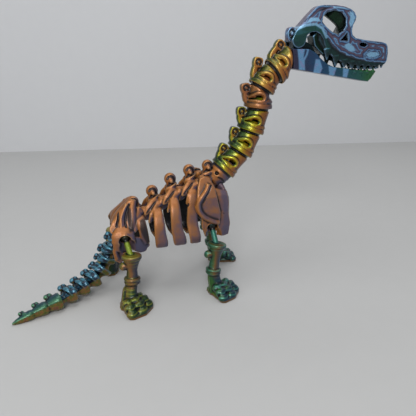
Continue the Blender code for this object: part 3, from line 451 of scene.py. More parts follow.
def both(items):
    """The shapes and their mirror images."""
    return items + [mirror_y(item) for item in items]


# A loose bit with fewer points than this is a speck.
SPECK_POINTS = 100
# A groove counts as a crease of this depth in millimetres, so that it gets the painted crease shade.
GROOVE_DEPTH = 0.5


def drop_specks(item):
    """Removes the specks that a cut leaves loose beside a piece."""
    bm = bmesh.new()
    bm.from_mesh(item.data)
    seen = set()
    specks = []
    for start in bm.verts:
        if start in seen:
            continue
        seen.add(start)
        isle = [start]
        for corner in isle:
            for line in corner.link_edges:
                other = line.other_vert(corner)
                if other not in seen:
                    seen.add(other)
                    isle.append(other)
        if len(isle) < SPECK_POINTS:
            specks += isle
    bmesh.ops.delete(bm, geom=specks, context="VERTS")
    bm.to_mesh(item.data)
    bm.free()


def piece(skin, name, node, slot, material, head=False, floor=False):
    """Gives a finished skin its name, body and material, in place of its CAD node; its slot only says
    whether its grooves are mirrored.
    """
    sizes = bpy.context.scene.skeleton_sizes
    grain = sizes.head_grain if head else sizes.body_grain
    item = fuse([skin], grain / MM, sizes.softening)
    drop_specks(item)
    if floor:
        spots = plan_points(item)
        spots[spots[:, 2] < SOLE_BELOW, 2] = SOLE_AT
        spots = (spots - np.array((CENTRE_X, CENTRE_Y, 0.0))) * MM
        item.data.vertices.foreach_set("co", spots.ravel())
        item.data.update()
    item.name = name
    item.data.name = name
    item.data.shade_smooth()
    item.data.materials.clear()
    item.data.materials.append(material)
    # The crease depth, deepened along cut grooves, drives the painted shade in creases and the painted
    # highlight on ridges.
    cuts = groove_share(plan_points(item), slot == "trunk_silk")
    mark(item, "fold", np.maximum(fold_depth(item), cuts * GROOVE_DEPTH - (1.0 - cuts)))
    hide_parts(node)
    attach(item, node)
    return item


# How many rounds of easing a crease is measured against.
FOLD_ROUNDS = 14


def fold_depth(item):
    """How deep each point lies in a crease, in millimetres; below 0 it stands out."""
    points = plan_points(item)
    count = len(points)
    ends = np.empty(len(item.data.edges) * 2, dtype=np.int64)
    item.data.edges.foreach_get("vertices", ends)
    one = ends[0::2]
    two = ends[1::2]
    tied = np.maximum(np.bincount(ends, minlength=count), 1)
    eased = points.copy()
    for _ in range(FOLD_ROUNDS):
        eased = np.stack([(np.bincount(one, eased[two, k], count)
                           + np.bincount(two, eased[one, k], count)) / tied
                          for k in range(3)], axis=1)
    return np.einsum("ij,ij->i", eased - points, rows_of(item, "normal"))


def mark(item, name, values):
    """Writes one number for each point of a piece, for its material to read, and keeps the
    larger where the piece already has one."""
    layer = item.data.attributes.get(name)
    values = np.asarray(values, dtype=np.float32)
    if layer:
        old = np.empty(len(values), dtype=np.float32)
        layer.data.foreach_get("value", old)
        values = np.maximum(values, old)
    else:
        layer = item.data.attributes.new(name, "FLOAT", "POINT")
    layer.data.foreach_set("value", values)


def gap_to(points, line, closed=False):
    """The distance in the side view from each point to a drawn line, in millimetres."""
    spots = np.array(line, dtype=float)
    ends = np.roll(spots, -1, axis=0) if closed else spots[1:]
    starts = spots if closed else spots[:-1]
    best = np.full(len(points), 1e9)
    flat = points[:, (0, 2)]
    for a, b in zip(starts, ends):
        run = b - a
        t = np.clip(((flat - a) @ run) / max(run @ run, 1e-9), 0.0, 1.0)
        best = np.minimum(best, np.linalg.norm(flat - (a + t[:, None] * run), axis=1))
    return best


def inside(points, line):
    """Whether each point lies inside a drawn outline, seen from the side."""
    spots = np.array(line, dtype=float)
    x = points[:, 0]
    z = points[:, 2]
    odd = np.zeros(len(points), dtype=bool)
    for (x1, z1), (x2, z2) in zip(spots, np.roll(spots, -1, axis=0)):
        hit = (z1 > z) != (z2 > z)
        cross = x1 + (z - z1) * (x2 - x1) / ((z2 - z1) if z2 != z1 else 1e-9)
        odd ^= hit & (x < cross)
    return odd


# ---- neck
def spot_on(base, along, dorsal, a, u, radius, hand):
    """A point on a link's round side: a along it, u behind its axis."""
    out = math.sqrt(max(radius * radius - u * u, 0.04))
    return base + along * a + dorsal * u + Vector((0.0, hand * out, 0.0))


def hook_shapes(base, along, dorsal, top, out):
    """A web and stalk that end in a thick curled head, and the tools that cut the curl."""
    reach = out - 1.9
    axes = (dorsal, along, ACROSS)
    path = knots(base, axes, [(reach - 5.0, 1.4), (reach - 0.6, 4.0), (reach + 2.0, top - 4.2),
                              (reach + 2.0, top)])
    stalk = limb(path, [3.6, 3.3, 3.0, 2.9], [3.6, 2.9, 2.3, 2.0], ACROSS, 3.4, 24)
    web = limb(knots(base, axes, [(reach - 3.4, 2.6), (reach - 2.6, top - 5.0),
                                  (reach - 0.4, top - 2.2)]),
               [2.4, 2.1, 1.6], [3.2, 3.4, 2.0], ACROSS, 2.4, 20)
    middle = base + dorsal * out + along * top
    head = limb([middle - ACROSS * 3.0, middle, middle + ACROSS * 3.0], [4.0, 4.15, 4.0],
                [4.1, 4.25, 4.1], along + dorsal * 0.3, 3.2, 32)
    tools = []
    for hand in (-1.0, 1.0):
        turns = [(2.55 - 0.11 * k, math.radians(205.0 - 36.0 * k)) for k in range(10)]
        curl = knots(middle, axes, [(r * math.cos(a), r * math.sin(a), hand * 3.1)
                                    for r, a in turns])
        tools.append(groove(curl, 0.78, 10))
    return [stalk, web, head], tools


def neck_sections(low, high, along, ahead, last):
    """The skirt, waist and dome of a neck link, from its open end up."""
    middle = (along + ahead).normalized()
    skirt = [(-1.6, 12.0), (-1.2, 12.4), (0.2, 12.5), (1.5, 12.35), (2.2, 11.9), (2.7, 11.3),
             (3.2, 11.4), (3.8, 12.0), (4.6, 12.1), (5.4, 11.6), (6.2, 10.9)]
    rings = turned_rings(low, along, skirt)
    if last:
        span = high - low
        waist = NECK_WAIST_R
        for place, way, r in ((low + span * 0.62, middle, waist + 0.1),
                              (high - ahead * 2.6, ahead, waist + 0.1),
                              (high - ahead * 1.5, ahead, waist + 0.4),
                              (high - lean_vector(7.0) * 0.5, lean_vector(7.0), waist - 0.3),
                              (high, lean_vector(7.0), waist - 0.9)):
            rings.append(section(place, way, ACROSS, r, r))
        return rings
    half = (low + along * 6.2 + high - ahead * 4.6) / 2
    rings.append(section(half, middle, ACROSS, NECK_WAIST_R, NECK_WAIST_R))
    # A groove round the dome, just below the rim of the next link.
    rings += turned_rings(high, ahead, ((-4.8, 10.4), (-4.0, 10.1), (-3.2, 9.2), (-2.2, 9.2),
                                        (-1.7, 10.2)))
    return rings + ball_rings(high, ahead, NECK_BALL_R, (-0.6, 1.4, 3.4, 5.4, 7.4))


def neck_skin(index):
    """One neck link: skirt, dome, hooked spine, and a ridge round each side's eye."""
    low = side(NECK_BALLS[index])
    along = lean_vector(NECK_LEAN[index])
    dorsal = Vector((-along.z, 0.0, along.x))
    last = index == len(NECK_BALLS) - 1
    high = side(HEAD_BALL) - lean_vector(7.0) * 6.7 if last else side(NECK_BALLS[index + 1])
    ahead = lean_vector(12.0) if last else lean_vector(NECK_LEAN[index + 1])
    shapes = [loft(neck_sections(low, high, along, ahead, last), 72)]
    horn, tools = hook_shapes(low, along, dorsal, *NECK_HOOKS[index])
    shapes += horn
    a, u = NECK_EYES[index]
    loop = [(-4.6, 10.4), (-1.6, 8.2), (1.6, 5.0), (3.7, 1.4), (3.4, -2.6), (0.9, -4.6),
            (-2.0, -4.0), (-3.5, -1.2)]
    lid = [(-6.0, 7.4), (-4.4, 3.0), (-4.6, -2.4), (-5.4, -6.6)]
    for hand in (-1.0, 1.0):
        trail = [spot_on(low, along, dorsal, a + da, u + du, 10.9, hand) for da, du in loop]
        shapes.append(cord(trail, 1.45, 14))
        fold = [spot_on(low, along, dorsal, max(a + da, 3.4), u + du, 11.2, hand)
                for da, du in lid]
        shapes.append(cord(fold, 1.0, 12))
        tuck = [spot_on(low, along, dorsal, a + da, u + du, 10.7, hand)
                for da, du in ((-3.4, 8.4), (-2.2, 6.4), (-1.2, 4.2), (-0.6, 2.2))]
        tools.append(cord(tuck, 1.0, 10))
        deep = spot_on(low, along, dorsal, a, u, 7.6, hand)
        out = spot_on(low, along, dorsal, a, u, 14.0, hand)
        tools.append(limb([deep, out], [2.7, 2.7], [1.75, 1.75], dorsal, 4.5, 28))
    if last:
        neck = side(HEAD_BALL)
        shapes.append(rod(neck - lean_vector(7.0) * 12.0, neck, 4.3, 3.8))
        shapes.append(sphere(neck, HEAD_BALL_R))
    skin = fuse(shapes)
    hollow = ball_rings(low, along, NECK_SOCKET_R, (-5.5, -0.1, 2.4, 4.8, 7.0, 8.8, 10.2, 11.0),
                        straight=True)
    return carve(skin, [loft(hollow, 48), rod(low - along * 4.0, low - along * 0.6, 12.6, 11.3, 48),
                        *tools])


# ---- head
ROOF = [(146.4, 218.6), (152.0, 224.4), (158.6, 231.9), (164.4, 237.6), (167.2, 239.7),
        (172.4, 240.6), (184.0, 240.9), (191.6, 240.0), (197.6, 237.9), (200.8, 235.4),
        (202.2, 232.2), (201.6, 229.0), (199.3, 225.4), (198.5, 221.4), (199.6, 217.8),
        (203.0, 215.4), (212.7, 213.9), (230.0, 212.5), (234.4, 211.5), (236.6, 209.0),
        (237.7, 204.0), (237.6, 197.0)]
GUM = [(235.8, 194.0), (225.0, 192.8), (211.4, 193.2), (199.0, 194.6), (190.6, 196.6),
       (182.4, 200.4), (176.4, 205.0)]
ARCH = [(173.8, 209.6), (172.4, 213.6), (169.4, 217.6), (165.2, 219.8), (160.6, 219.3),
        (157.2, 216.8)]
NARIS = [(171.4, 231.6), (175.4, 235.0), (182.0, 236.4), (188.2, 235.0), (191.9, 230.6),
         (192.3, 225.2), (190.0, 220.6), (185.4, 218.0), (180.6, 219.4), (174.4, 223.6),
         (170.8, 227.6)]
SLOT = [(188.6, 213.4), (193.9, 219.2), (195.4, 213.0)]
NOSTRIL = [(207.0, 210.6), (209.4, 211.9), (213.6, 211.2), (215.3, 209.6), (212.6, 208.2),
           (208.6, 208.8)]
# Where the face plate stops over the darker gum wall, and the ring on the snout.
CHEEK_LINE = [(168.6, 224.6), (173.0, 219.6), (177.0, 213.6), (181.6, 208.2), (188.6, 204.2),
              (197.6, 200.6), (206.6, 198.4), (216.0, 196.6), (226.0, 195.4), (238.0, 195.2)]
SNOUT_RING = [(213.0, 202.4), (217.0, 205.2), (223.0, 205.8), (228.4, 204.6), (230.0, 201.8),
              (226.0, 199.4), (219.0, 199.0), (214.2, 200.2)]
# The skull's section from the front, at each place along the head.
ARCH_SECTION = [(-9.0, 185.0), (-9.0, 212.0), (-8.4, 224.0), (-7.2, 232.0), (-5.6, 237.4),
                (-3.0, 240.6)]
BACK_SECTION = [(-8.2, 185.0), (-8.2, 212.0), (-8.0, 217.0), (-6.8, 220.4), (-4.6, 224.0),
                (-3.6, 232.0)]
SLOPE_SECTION = [(-8.6, 185.0), (-8.6, 212.0), (-8.0, 221.0), (-6.4, 229.0), (-4.6, 234.0),
                 (-3.7, 241.0)]
CORE_SECTION = [(-6.5, 180.0), (-6.5, 213.0), (-5.9, 223.0), (-4.9, 230.0), (-3.2, 234.8),
                (-1.4, 237.6)]
BACK_CORE = [(-5.6, 180.0), (-5.6, 211.0), (-5.5, 216.0), (-4.4, 218.6), (-2.2, 221.6),
             (-1.5, 229.0)]
SLOPE_CORE = [(-6.1, 180.0), (-6.1, 212.0), (-5.5, 220.0), (-4.0, 227.0), (-2.2, 232.0),
              (-1.5, 238.0)]
SKULL_SKIN = [(138.0, 1.0, 0.0, BACK_SECTION), (150.0, 1.0, 0.0, BACK_SECTION),
              (165.0, 1.0, 0.0, SLOPE_SECTION), (182.0, 1.0, 1.0, ARCH_SECTION),
              (200.0, 1.0, 1.0, ARCH_SECTION), (243.0, 0.84, 1.0, ARCH_SECTION)]
SKULL_CORE = [(130.0, 1.0, 0.0, BACK_CORE), (150.0, 1.0, 0.0, BACK_CORE),
              (165.0, 1.0, 0.0, SLOPE_CORE), (182.0, 1.0, 1.0, CORE_SECTION),
              (200.0, 1.0, 1.0, CORE_SECTION), (243.0, 0.78, 1.0, CORE_SECTION)]
SKULL_TEETH = [(177.4, 204.0, 197.6, 3.7), (186.2, 198.6, 192.6, 3.7), (195.0, 195.4, 191.3, 3.5),
               (202.6, 194.0, 190.5, 3.3), (209.4, 193.4, 189.9, 3.1), (216.0, 193.1, 189.6, 3.0),
               (222.4, 192.9, 189.6, 2.9), (228.0, 193.2, 189.9, 2.6), (233.4, 193.8, 190.8, 2.0)]
# The hole through the skull narrows to this in the middle of the head.
NARIS_MIDDLE = [(171.6, 231.6), (174.6, 233.4), (178.2, 231.6), (182.6, 229.0), (186.8, 226.2),
                (189.4, 223.6), (189.2, 220.6), (185.4, 218.7), (180.8, 220.0), (175.0, 224.0),
                (171.4, 227.8)]
# The bone that joins the two cheeks behind the eyes, dark with painted shade.
CHEEK = [(168.8, 217.0), (171.0, 219.9), (175.2, 218.3), (178.4, 209.0), (178.6, 203.4),
         (175.0, 205.6), (171.6, 209.8), (169.2, 213.4)]
CHEEK_LOW = [(163.6, 216.6), (167.0, 219.0), (172.0, 218.0), (177.0, 210.0), (178.4, 202.6),
             (174.4, 202.2), (170.0, 205.0), (166.0, 208.8)]
# Bone between the teeth, inside the gums, dark with painted shade: places along the head and half
# widths.
PALATE = [(205.0, 5.1, 192.2), (210.0, 5.0, 190.6), (217.0, 4.8, 190.0), (225.0, 4.4, 189.9),
          (233.0, 3.8, 190.4)]


def skull_half(x):
    """Half the skull's width at the gums."""
    return SKULL_HALF * (1.0 - 0.16 * max(0.0, x - 200.0) / 43.0)


def whole(half):
    """Both sides of a section that is drawn from its left foot to its middle."""
    return half + [(-y, z) for y, z in reversed(half)]


def leaning(rows):
    """The rows of a section table as outlines across the head."""
    return [[(x, y * k, z + lift * max(0.0, (z - 205.0) / 36.0)) for y, z in whole(part)]
            for x, k, lift, part in rows]


def skull_skin():
    """The skull: leaning sides under a roof, raised rims, a gum wall and teeth."""
    px, pz = SKULL_PIN
    lobe = [(px + LOBE_R * math.cos(math.radians(a)), pz + LOBE_R * math.sin(math.radians(a)))
            for a in range(0, -190, -10)]
    shell = plate(ROOF + GUM + ARCH + lobe, -SKULL_HALF, SKULL_HALF)
    keep(shell, [outline_loft(leaning(SKULL_SKIN))])
    inner = [(136.0, 186.0), (136.0, 208.0), (147.0, 212.0), (154.6, 222.8), (161.0, 230.6),
             (167.4, 236.4), (174.0, 237.6), (184.0, 237.9), (192.0, 236.6), (198.0, 233.2),
             (198.8, 230.6), (195.4, 224.6), (195.0, 219.2), (198.6, 214.2), (205.0, 211.8),
             (229.0, 209.4), (233.2, 207.4), (234.4, 201.0), (233.6, 186.0)]
    core = plate(inner, -SKULL_HALF, SKULL_HALF)
    keep(core, [outline_loft(leaning(SKULL_CORE))])
    throat = [(138.0, 198.0), (138.0, pz + 3.3)]
    throat += [(px + 5.4 * math.cos(math.radians(a)), pz + 5.4 * math.sin(math.radians(a)))
               for a in range(142, -70, -15)]
    carve(shell, [core, plate(throat + [(px + 1.9, 198.0)], -5.3, 5.3)])
    # The gum wall stands back a little under the face plate.
    wall = CHEEK_LINE + [(240.0, 186.0), (150.0, 186.0), (150.0, 206.0), (168.0, 206.0)]
    for hand in (-1.0, 1.0):
        low = plate(wall, hand * 14.0, hand * 8.35)
        carve(shell, [low])
    carve(shell, [plate(hole, -12.0, 12.0) for hole in (NARIS, SLOT, NOSTRIL)])
    shapes = [shell]
    # A smooth duct joins the two sides of the great opening.
    middle = Vector((181.6, 0.0, 227.2))
    lip = [tuple(middle[k] + (p[j] - middle[k]) * 1.16 for j, k in ((0, 0), (1, 2))) for p in NARIS]
    duct = plate(lip, -6.9, 6.9)
    hole = [[(x, y, z) for x, z in line] for y, line in
            ((-8.0, NARIS), (-5.4, NARIS), (-1.6, NARIS_MIDDLE), (1.6, NARIS_MIDDLE), (5.4, NARIS),
             (8.0, NARIS))]
    keep(duct, [outline_loft(leaning(SKULL_SKIN))])
    shapes.append(carve(duct, [outline_loft(hole)]))
    # The curled tab at the back of the head, on its middle line.
    tab = Vector((145.6, 0.0, 217.6))
    flap = fuse([limb([tab - ACROSS * 3.4, tab, tab + ACROSS * 3.4], [3.7, 3.9, 3.7],
                      [5.8, 6.0, 5.8], FORWARD, 2.6, 28),
                 block((146.4, -2.6, 215.6), (153.6, 2.6, 221.4))], GRAIN_HEAD)
    shapes.append(carve(flap, [rod((px, -6.0, pz), (px, 6.0, pz), 5.3)]))
    shapes.append(outline_loft([[(x, -half, 197.0), (x, half, 197.0), (x, half, low),
                                 (x, -half, low)] for x, half, low in PALATE]))
    shapes += [plate(CHEEK, -7.0, 7.0), plate(CHEEK_LOW, -5.8, 5.8)]
    curls = [groove([tab + Vector((2.0 * math.cos(a), hand * 3.5, 0.6 + 3.0 * math.sin(a)))
                     for a in (4.2, 3.4, 2.6, 1.8, 1.0, 0.2, -0.6)], 0.75, 10)
             for hand in (-1.0, 1.0)]
    for x, root, tip, wide in SKULL_TEETH:
        half = skull_half(x) - 1.5
        for hand in (-1.0, 1.0):
            shapes.append(limb([(x - 0.3, hand * half, root + 2.6), (x - 0.1, hand * half, root - 0.8),
                                (x, hand * half, tip)], [wide, wide * 0.72, 0.55], [1.6, 1.3, 0.5],
                               FORWARD, 2.0, 16))
    for hand in (-1.0, 1.0):
        shapes.append(rod((px, hand * 6.6, pz), (px, hand * 3.1, pz), PIN_R))
    return carve(fuse(shapes, GRAIN_HEAD), curls)


JAW_SECTION = [(-8.6, 208.0), (-8.6, 194.0), (-8.0, 186.0), (-6.6, 178.0)]
JAW_WELL = [(-6.3, 232.0), (-6.1, 194.0), (-5.2, 186.0), (-4.0, 181.0)]
JAW_OUTLINE = [(146.7, 190.5), (222.0, 179.2), (224.6, 182.0), (228.4, 188.6), (226.0, 188.8),
               (215.0, 188.9), (196.0, 190.9), (185.0, 191.9), (177.6, 194.6), (171.0, 199.2),
               (166.0, 203.6), (160.0, 206.2), (146.0, 206.4), (144.8, 206.4)]


def jaw_skin():
    """The lower jaw: a trough with teeth, a block with the neck's socket, and a boss."""
    trough = plate(JAW_OUTLINE, -8.9, 8.9)
    keep(trough, [outline_loft([[(x, y * k, z) for y, z in whole(JAW_SECTION)]
                                for x, k in ((138.0, 0.98), (200.0, 1.0), (240.0, 0.78))])])
    well = plate([(163.0, 230.0), (163.0, 191.6), (219.4, 183.0), (224.6, 188.0), (226.0, 230.0)],
                 -6.2, 6.2)
    keep(well, [outline_loft([[(x, y * k, z) for y, z in whole(JAW_WELL)]
                              for x, k in ((150.0, 1.0), (200.0, 1.0), (240.0, 0.70))])])
    carve(trough, [well])
    px, pz = SKULL_PIN
    hump = [(150.4, 199.0), (150.4, 211.8), (158.4, 212.2), (163.6, 209.8), (168.0, 203.6),
            (171.0, 197.0), (168.0, 193.0)]
    shapes = [trough, rod((px, -4.9, pz), (px, 4.9, pz), 4.5),
              block((px - 3.6, -4.9, 203.0), (px + 4.4, 4.9, pz)), plate(hump, -4.6, 4.6)]
    for x in (225.4, 219.3, 212.8, 206.0):
        for hand in (-1.0, 1.0):
            y = hand * (7.4 - 0.045 * (x - 200.0))
            shapes.append(rod((x, y, 187.4), (x + 0.1, y, 191.8), 1.6, 0.3, sides=16))
    skin = fuse(shapes, GRAIN_HEAD)
    cup = sphere(side(HEAD_BALL), HEAD_SOCKET_R)
    mouth = rod(side((137.0, 197.5)), side(HEAD_BALL), 7.4, 4.3)
    bores = [rod((px, hand * 7.0, pz), (px, hand * 2.6, pz), PIN_R + 0.65) for hand in (-1.0, 1.0)]
    return carve(skin, [cup, mouth, *bores])


# ---- trunk
def trunk_ball(index, back):
    """The ball that a link reaches forward into the cup of the link before it."""
    ball = side(TRUNK_BALLS[index])
    root = side(back)
    return [rod(ball, root, 2.1, 2.9), sphere(ball, TRUNK_BALL_R)]


def trunk_cup(index, front):
    """The round cup at the rear of a link, before it is hollowed."""
    ball = side(TRUNK_BALLS[index])
    root = side(front)
    along = (ball - root).normalized()
    return loft([section(root, along, ACROSS, 4.2, 4.2),
                 *ball_rings(ball, along, TRUNK_CUP_R, (-5.0, -3.2, -1.0, 1.0, 2.6))])


def trunk_hollow(index, front):
    """The space that the next ball moves in."""
    ball = side(TRUNK_BALLS[index])
    along = (ball - side(front)).normalized()
    levels = (-4.6, -3.4, -1.6, 0.4, 2.2, 3.6, 4.3)
    return loft(ball_rings(ball, along, TRUNK_SOCKET_R, levels))


def trunk_room(index):
    """The space that a link leaves free round the cup of the link before it."""
    ball = side(TRUNK_BALLS[index])
    ahead = ball - side(TRUNK_BALLS[index + 1]) if index < 3 else Vector((1.0, 0.0, 0.5))
    ahead = ahead.normalized()
    return [sphere(ball, TRUNK_CUP_R + 1.0, axis=ahead),
            rod(ball, ball + ahead * 12.0, TRUNK_CUP_R + 0.9)]


def spine_shapes(root, tip, head=5.3):
    """A spine with a round head on a link's back, a fold across its waist and a nose."""
    a = side(root)
    b = side(tip)
    up = (b - a).normalized()
    fore = Vector((up.z, 0.0, -up.x))
    neck = b - up * (head * 1.9)
    stalk = limb([a, (a + neck) / 2, neck, b - up * head], [4.9, 4.3, 3.8, 3.8],
                 [5.8, 5.0, 4.0, 4.2], ACROSS, 2.4, 28)
    middle = b - up * head
    knob = sphere(middle, head, (1.0, 0.80, 1.0))
    shapes = [stalk, knob]
    tools = []
    for hand in (-1.0, 1.0):
        # The fold is a band that slants down to the rear over the waist.
        axes = (fore, up, ACROSS * hand)
        shapes.append(limb(knots(neck, axes, [(4.6, 1.2, 2.2), (1.0, -1.2, 4.6), (-3.6, -3.4, 4.2),
                                              (-5.6, -6.4, 3.2)]),
                           [1.2, 1.9, 2.2, 1.0], [1.2, 1.5, 1.6, 0.8], up, 2.0, 18))
        shapes.append(sphere(middle - up * 1.7 + fore * 0.5 + ACROSS * hand * (head * 0.66), 1.9))
        turns = [math.radians(-66.0 + 39.0 * k) for k in range(8)]
        tools.append(groove(knots(middle, axes, [(3.2 * math.sin(a), 3.2 * math.cos(a) - 0.2,
                                                  head * 0.66) for a in turns]), 1.0))
        tools.append(groove(knots(neck, axes, [(4.6, 2.7, 2.6), (0.8, 0.9, 4.4),
                                               (-4.4, -0.6, 3.2)]), 0.95))
    return shapes, tools


def leaf(path, wide, thick, twist):
    """A flat leaf with a pointed end, laid along a path."""
    return limb(path, wide, thick, twist, 2.2, 22, 4)


def process_shapes(x, z, fall):
    """Two crossed leaves on the flank below a spine, and the knob in front of it."""
    flat = Vector((1.0, -0.2, -0.7))
    shapes = [sphere((x + 6.2, -6.4, z + 0.2), 3.2),
              sphere((x + 8.6, -5.0, z + 1.0), 2.5),
              limb([(x + 6.2, -6.6, z - 0.4), (x + 3.0, -9.0, z - 1.6), (x + 0.4, -10.6, z - 3.6)],
                   [2.6, 2.5, 1.6], [2.2, 2.0, 1.4], FORWARD, 2.0, 20),
              leaf([(x + 2.6, -4.6, z + 2.6), (x - 0.8, -7.4, z - 0.2), (x - 5.0, -9.8, z - 4.6),
                    (x - 9.4, -11.0, z - 8.8)], [2.4, 4.2, 4.0, 0.8], [1.6, 1.9, 1.6, 0.6], flat),
              leaf([(x + 4.0, -6.4, z + 1.0), (x + 1.8, -10.8, z - 3.6), (x - 2.6, -14.8, z - 8.8),
                    (x - 6.6, -16.4, z - fall + 1.0)], [1.6, 3.6, 3.8, 0.8], [1.5, 1.8, 1.6, 0.7],
                   Vector((1.0, 0.3, -0.4)))]
    return shapes


def process_creases(x, z, fall):
    """The folds between the leaves, cut as grooves that get painted shade."""
    lines = [[(x + 4.4, -9.0, z - 1.0), (x + 0.4, -12.0, z - 5.4), (x - 4.6, -14.0, z - 10.4)],
             [(x + 0.8, -9.0, z + 1.8), (x - 3.0, -11.0, z - 2.4), (x - 7.6, -12.4, z - 6.6)],
             [(x + 1.6, -14.6, z - 6.0), (x - 1.8, -17.0, z - 10.2), (x - 5.6, -18.4, z - fall)]]
    return [groove(line, 0.85) for line in lines]


def rib_shape(top, mid, foot, tuck, wide):
    """One flat rib: out from the back, down the flank and in under the belly."""
    height = top[1] - RIB_FLOOR
    path = []
    for y, fall in ((5.0, 0.02), (12.0, -0.01), (18.4 - tuck * 0.6, 0.10), (22.0 - tuck, 0.30),
                    (RIB_HALF - tuck, 0.55), (22.0, 0.80), (17.6, 0.95), (9.0, 1.0)):
        lean = top[0] + (mid - top[0]) * min(1.0, fall * 2.0)
        if fall > 0.5:
            lean = mid + (foot - mid) * (fall - 0.5) * 2.0
        path.append((lean, -y, top[1] - height * fall))
    return limb(path, [3.6, 3.9, 4.3, 4.7, 5.0, wide, wide * 0.94, wide * 0.6],
                [2.2, 2.1, 1.8, 1.6, 1.5, 1.5, 1.5, 1.3], FORWARD, 3.4, 32, 5)


BLADE = [(66.2, 104.6), (70.6, 103.2), (74.4, 95.6), (76.0, 85.0), (78.6, 74.0),
         (78.4, 66.0), (75.0, 61.4), (64.0, 68.2), (57.4, 75.2), (55.6, 80.6),
         (57.8, 87.4), (59.6, 97.2), (62.0, 102.8)]
BLADE_GAP = [(66.2, 108.0), (80.0, 104.0), (80.0, 58.0), (74.0, 58.6), (62.6, 66.2),
             (55.4, 73.6), (53.6, 80.6), (55.8, 88.2), (57.8, 98.0), (60.4, 106.0)]
BLADE_LEVELS = (62, 65, 68, 72, 76, 80, 84, 88, 92, 95, 98, 101)
# The raised edge that runs over the blade and round its lower corner.
BLADE_RIDGE = [(68.8, 98.6), (66.6, 94.0), (62.6, 89.4), (59.6, 85.4), (58.8, 81.4),
               (60.2, 75.6), (64.8, 70.4), (71.6, 66.4), (77.6, 64.4)]
# Slate faces of the trunk: the breast beside the blade, and the plate ahead of the hip.
BREAST_PATCH = [(78.8, 97.0), (79.8, 90.0), (81.6, 80.0), (82.0, 68.0), (81.0, 46.0),
                (98.0, 46.0), (98.0, 94.0), (86.0, 98.0)]
# Clefts in the hips, drawn in the side view, that get painted shade.
HIP_CLEFTS = [[(13.2, 71.0), (16.6, 60.0), (21.0, 46.0), (15.0, 47.4), (12.0, 55.0), (9.4, 62.0),
               (10.0, 70.0)],
              [(0.8, 80.4), (3.6, 79.4), (4.0, 72.0), (4.4, 62.6), (0.6, 61.6), (-0.8, 70.4)]]
PUBIS_PATCH = [(0.4, 56.6), (8.1, 55.4), (16.5, 46.4), (15.5, 38.0), (0.5, 38.0)]


def blade_depth(z):
    """How far out the shoulder blade stands at a height."""
    return -ramp(z, [(60, 22.8), (76, 24.0), (88, 23.4), (97, 20.0), (105, 14.8)])


def on_blade(x, z, lift):
    """A point on the outer face of the shoulder blade."""
    return Vector((x, blade_depth(z) - 1.9 - lift, z))


LAST_RIB = [(67.6, -4.0, 92.0), (67.6, -12.0, 92.6), (67.4, -18.0, 88.0), (66.8, -20.4, 78.0),
            (67.4, -20.4, 62.0), (68.8, -19.6, 51.4)]


def shoulder_shapes(room=0.0):
    """The arm that carries a shoulder blade and the knob by the spine, or the room round them."""
    return [limb([(70.0, -2.0, 96.0), (69.0, -9.0, 99.0), (68.0, -15.0, 98.0),
                  (67.6, -19.0, 92.0)], [w + room for w in (5.4, 5.8, 5.6, 4.6)],
                 [h + room for h in (4.0, 3.6, 3.4, 2.4)], FORWARD, 2.0, 28),
            sphere((66.6, -6.8, 100.0), 3.3 + room)]


def rib_skin(index):
    """A back link: column, spine, folded side processes and a pair of ribs."""
    front = side(TRUNK_BALLS[index])
    rear = side(TRUNK_BALLS[index + 1])
    middle = (front + rear) / 2
    along = (rear - front).normalized()
    start = front + along * 7.4
    spine, tools = spine_shapes((start.x + 0.4, start.z + 1.0), SPINE_TIPS[index])
    shapes = [rod(start, rear - along * 3.4, 4.6, 5.2), *spine]
    near = rib_shape((start.x + RIB_SHIFT[index], start.z + 1.2), *RIB_FEET[index],
                     RIB_TUCK[index], RIB_WIDE[index])
    shapes += both([near, *process_shapes(start.x - 0.6, start.z + 6.4, 15.6)])
    tools += both(process_creases(start.x - 0.6, start.z + 6.4, 15.6))
    skin = fuse(shapes)
    room = trunk_room(index)
    if index == 0:
        gap = plate(BLADE_GAP, -14.0, 2.7)
        arm = limb(LAST_RIB[:3], [4.2, 4.4, 4.2], [3.3, 3.3, 2.9], FORWARD, 3.0, 28)
        room += both([bend(gap, BLADE_LEVELS, blade_depth), *shoulder_shapes(0.9), arm])
    carve(skin, room + tools)
    skin = fuse([skin, trunk_cup(index + 1, (middle.x, middle.z)),
                 *trunk_ball(index, (start.x - 1.0, start.z - 0.4))])
    return carve(skin, [trunk_hollow(index + 1, (middle.x, middle.z))])


def leg_sockets(end):
    """Tools for a pair of leg sockets: a round hollow and its way out."""
    out = []
    for hand in ("right", "left"):
        ball, shape, turn = LEGS["leg_%s_%s" % (end, hand)]
        way = (leg_point(hand, ball, shape[0], turn) - Vector(ball)).normalized()
        centre = Vector(ball)
        out.append(sphere(ball, LEG_SOCKET_R, axis=way))
        out.append(rod(centre + way * 2.4, centre + way * 11.0, 3.9, 8.8))
        out.append(rod(centre + way * 7.0, centre + way * 17.0, 6.2, 7.6))
        outward = Vector((0.0, math.copysign(1.0, centre.y), 0.0))
        out.append(sphere(centre + outward * 6.6 - Vector((0.0, 0.0, 1.4)), 5.4,
                          (1.0, 1.0, 0.92)))
    return out


